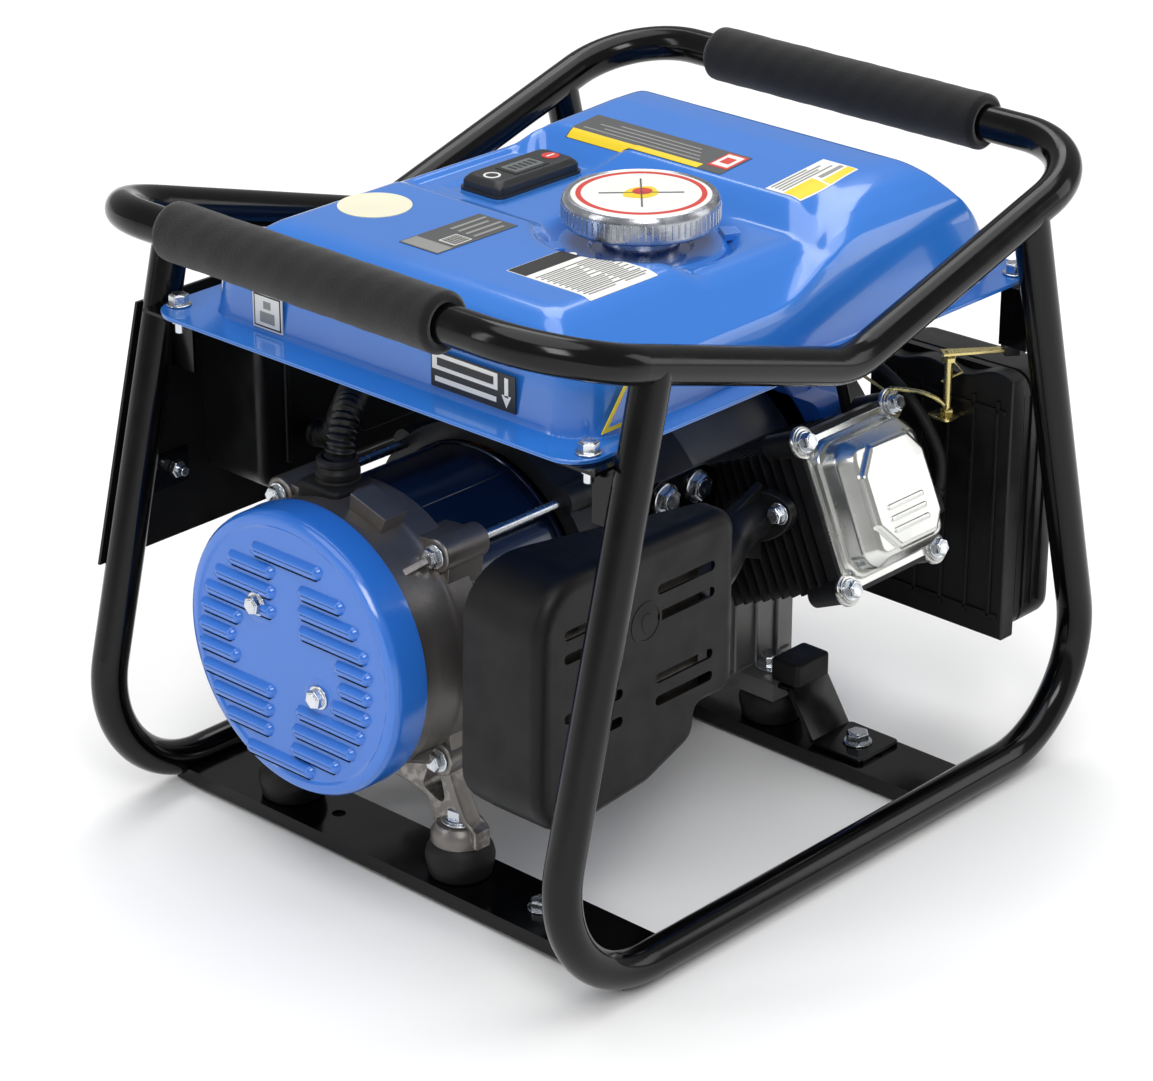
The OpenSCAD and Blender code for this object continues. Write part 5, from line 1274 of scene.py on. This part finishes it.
# ------------------------------------------------------------------ starter side, tap and dipstick
def make_starter_side():
    s = Shape()
    s.lathe([(70, 0.2), (84.6, 0.2), (86, 1.2), (86, 14), (85.0, 15), (85.0, 17), (86, 18), (86, 40),
             (83.6, 44.2), (80, 45.8), (60, 45.8), (58.6, 45), (58.6, 43.6), (79, 43.4), (82.4, 40),
             (82.4, 2), (70, 2)], (150, AXIS_Y, AXIS_Z), RIGHT, 120, closed=True)
    duct = fillet([(-46, 130, 5), (10, 130, 2), (10, 214, 2), (-46, 214, 10)], 5)
    slab(s, duct, "x", soft(150.2, 175.8, 0, 5))
    for a in SHROUD_ANGLES:
        p = round_shaft(150.2, 85.5, a)
        if a != 157.5:                        # the duct takes this one's place
            s.lathe([(6.4, 0), (6.4, 9), (5.4, 10)], p, RIGHT, 24)
    piece(s, "blower_shroud", "cover", node="blower_housing", bevel=0.4)
    s = Shape()
    s.lathe([(69, 0), (72.6, 0), (74, 1.2), (74, 22), (72.8, 25.4), (66, 28.8), (60, 33.2), (56.6, 34),
             (30, 34.2), (29, 33.4), (18, 33.2), (16.6, 34.4), (10, 34.8), (0.01, 34.8), (0.01, 32.6),
             (56, 31.8), (71, 24), (71.4, 4)], (196.2, AXIS_Y, AXIS_Z), RIGHT, 120, closed=True)
    slots = Shape()
    for k in range(12):
        r, q, c = ear_frame(30 * k + 15)
        pts = [((53 if abs(t) <= pi / 2 else 36) + 2.5 * cos(t), 2.5 * sin(t))
               for t in (pi * ((j + 0.5) / 10 - 1) for j in range(20))]
        slots.loft([[Vector((x, *(c + r * u + q * v)[1:])) for u, v in pts] for x in (222, 240)])
    for a in SHROUD_ANGLES:
        s.lathe([(7.4, 0), (7.4, 5), (6.6, 5.8)], round_shaft(196.2, 77, a), RIGHT, 24)
    slab(s, fillet([(70, 196, 3), (87, 194, 3), (87, 211, 3), (70, 211, 3)], 4), "x",
         soft(199, 221, 1, 2.5))
    piece(s, "recoil_housing", "plastic", node="recoil_cover", bevel=0.3, cuts=[slots])
    s = Shape()
    for k, a in enumerate(SHROUD_ANGLES):
        s.bolt(round_shaft(202.0, 77, a), RIGHT, 2.6, 3.4, turn=k)
    piece(s, "shroud_screws", "zinc", bevel=0.2)
    s = Shape()
    d = Vector((0.62, 0.42, 0.66)).normalized()
    tip = Vector((213, 79, 216))
    u = d.cross(Vector(BACK)).normalized()
    v = d.cross(u)
    rings = []
    for t in range(-26, 27, 2):
        r = 8 - 1.2 * exp(-((t / 7.0) ** 2)) - max(0, abs(t) - 23) ** 2 * 0.28
        r += 0.35 * cos(t * 1.6) * (abs(t) < 22)
        rings.append(circle(tip + d * 18 + u * t, d, v, r, 28))
    s.loft(rings)
    s.lathe([(3.2, 2), (5.6, 3), (6.4, 8), (7.4, 14), (4, 18)], tip, d, 32)
    piece(s, "pull_handle", "plastic", body="starter_handle", node="recoil_grip")
    s = Shape()
    s.loft([[tip + d * h + (u * cos(a) + v * sin(a)) * (2.0 + 0.16 * cos(2 * a + h * 2.2))
             for a in angles(16)] for h in (-9 + 14 * k / 46 for k in range(47))])
    o = piece(s, "starter_rope", "white_plastic", body=None, angle=60)
    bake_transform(o)
    s = Shape()
    s.lathe([(2.4, -1), (6.5, -1), (7.4, 0.4), (6.2, 2.4), (3.4, 2.6), (2.4, 1.4)], tip - d * 3.0, d, 32,
            closed=True)
    piece(s, "rope_eyelet", "zinc")


def make_tap_and_dipstick():
    s = Shape()
    s.lathe([(6, 44), (6, 24), (9, 23.6), (9.2, 12), (8.4, 9.4), (3.4, 8.4), (3.4, 3), (3.9, 2.2), (3.9, 1),
             (3.0, 0), (1.5, 0)], (140, 118, 272), UP, 40)
    s.cyl((140, 118, 290), BACK, 6, 15, 32)
    s.lathe([(12.4, 29.6), (12.4, 31.4), (6, 31.8), (6, 29.6)], (140, 118, 272), UP, 6, closed=True)
    s.lathe([(8.8, 4), (10, 5), (10, 10), (8.8, 11)], (140, 118, 274), UP, 40, closed=True)
    piece(s, "tap_casting", "zinc", node="fuel_tap", bevel=0.3)
    s = Shape()
    s.cyl((140, 125, 290), BACK, 2.9, 10, 24)
    s.lathe([(7, 8.6), (7.2, 9.2), (7.2, 12.0), (6.4, 12.5), (0.01, 12.5)], (140, 125, 290), BACK, 36)
    lo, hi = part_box("fuel_tap_lever")
    along = (Vector((lo.x + hi.x, 0, lo.z + hi.z)) / 2 / MM - Vector((140, 0, 290))).normalized()
    side = Vector(BACK).cross(along)
    s.loft([[Vector((140, y, 290)) + along * a + side * b for a, b in
             ((0, -4.6), (12, -3.0), (22, -3.4), (24, -1.5), (24, 1.5), (22, 3.4), (12, 3.0), (0, 4.6))]
            for y in (134.0, 137.3)])
    piece(s, "tap_handle", "red_plastic", body="tap_lever", node="fuel_tap_lever",
          bevel=0.6)
    s = Shape()
    d = Vector((0, 0.8660254, 0.5))
    b = Vector((72, 78, 70))
    u, v, w = basis(d)
    s.lathe([(5, 32.6), (9, 33.6), (13, 34.4), (14, 35.4), (14, 40), (13, 41.3), (6, 41.3), (5.4, 42.6),
             (0.01, 42.6)], b, d, 48)
    for p in circle(b + d * 35.4, u, v, 13.9, 20):
        s.cyl(p, d, 1.0, 4.8, 8)
    s.loft([[b + d * h + u * x + v * y for x, y in ((-10, -1.8), (10, -1.8), (10, 1.8), (-10, 1.8))]
            for h in (41, 46.0)])
    s.cyl(b + d * 2, d, 2.2, 31, 16)
    s.cyl(b + d * 22, d, 8.6, 11.5, 30)
    piece(s, "dipstick_cap", "orange", body="dipstick", node="oil_dipstick",
          bevel=0.5)


make_starter_side()
make_tap_and_dipstick()
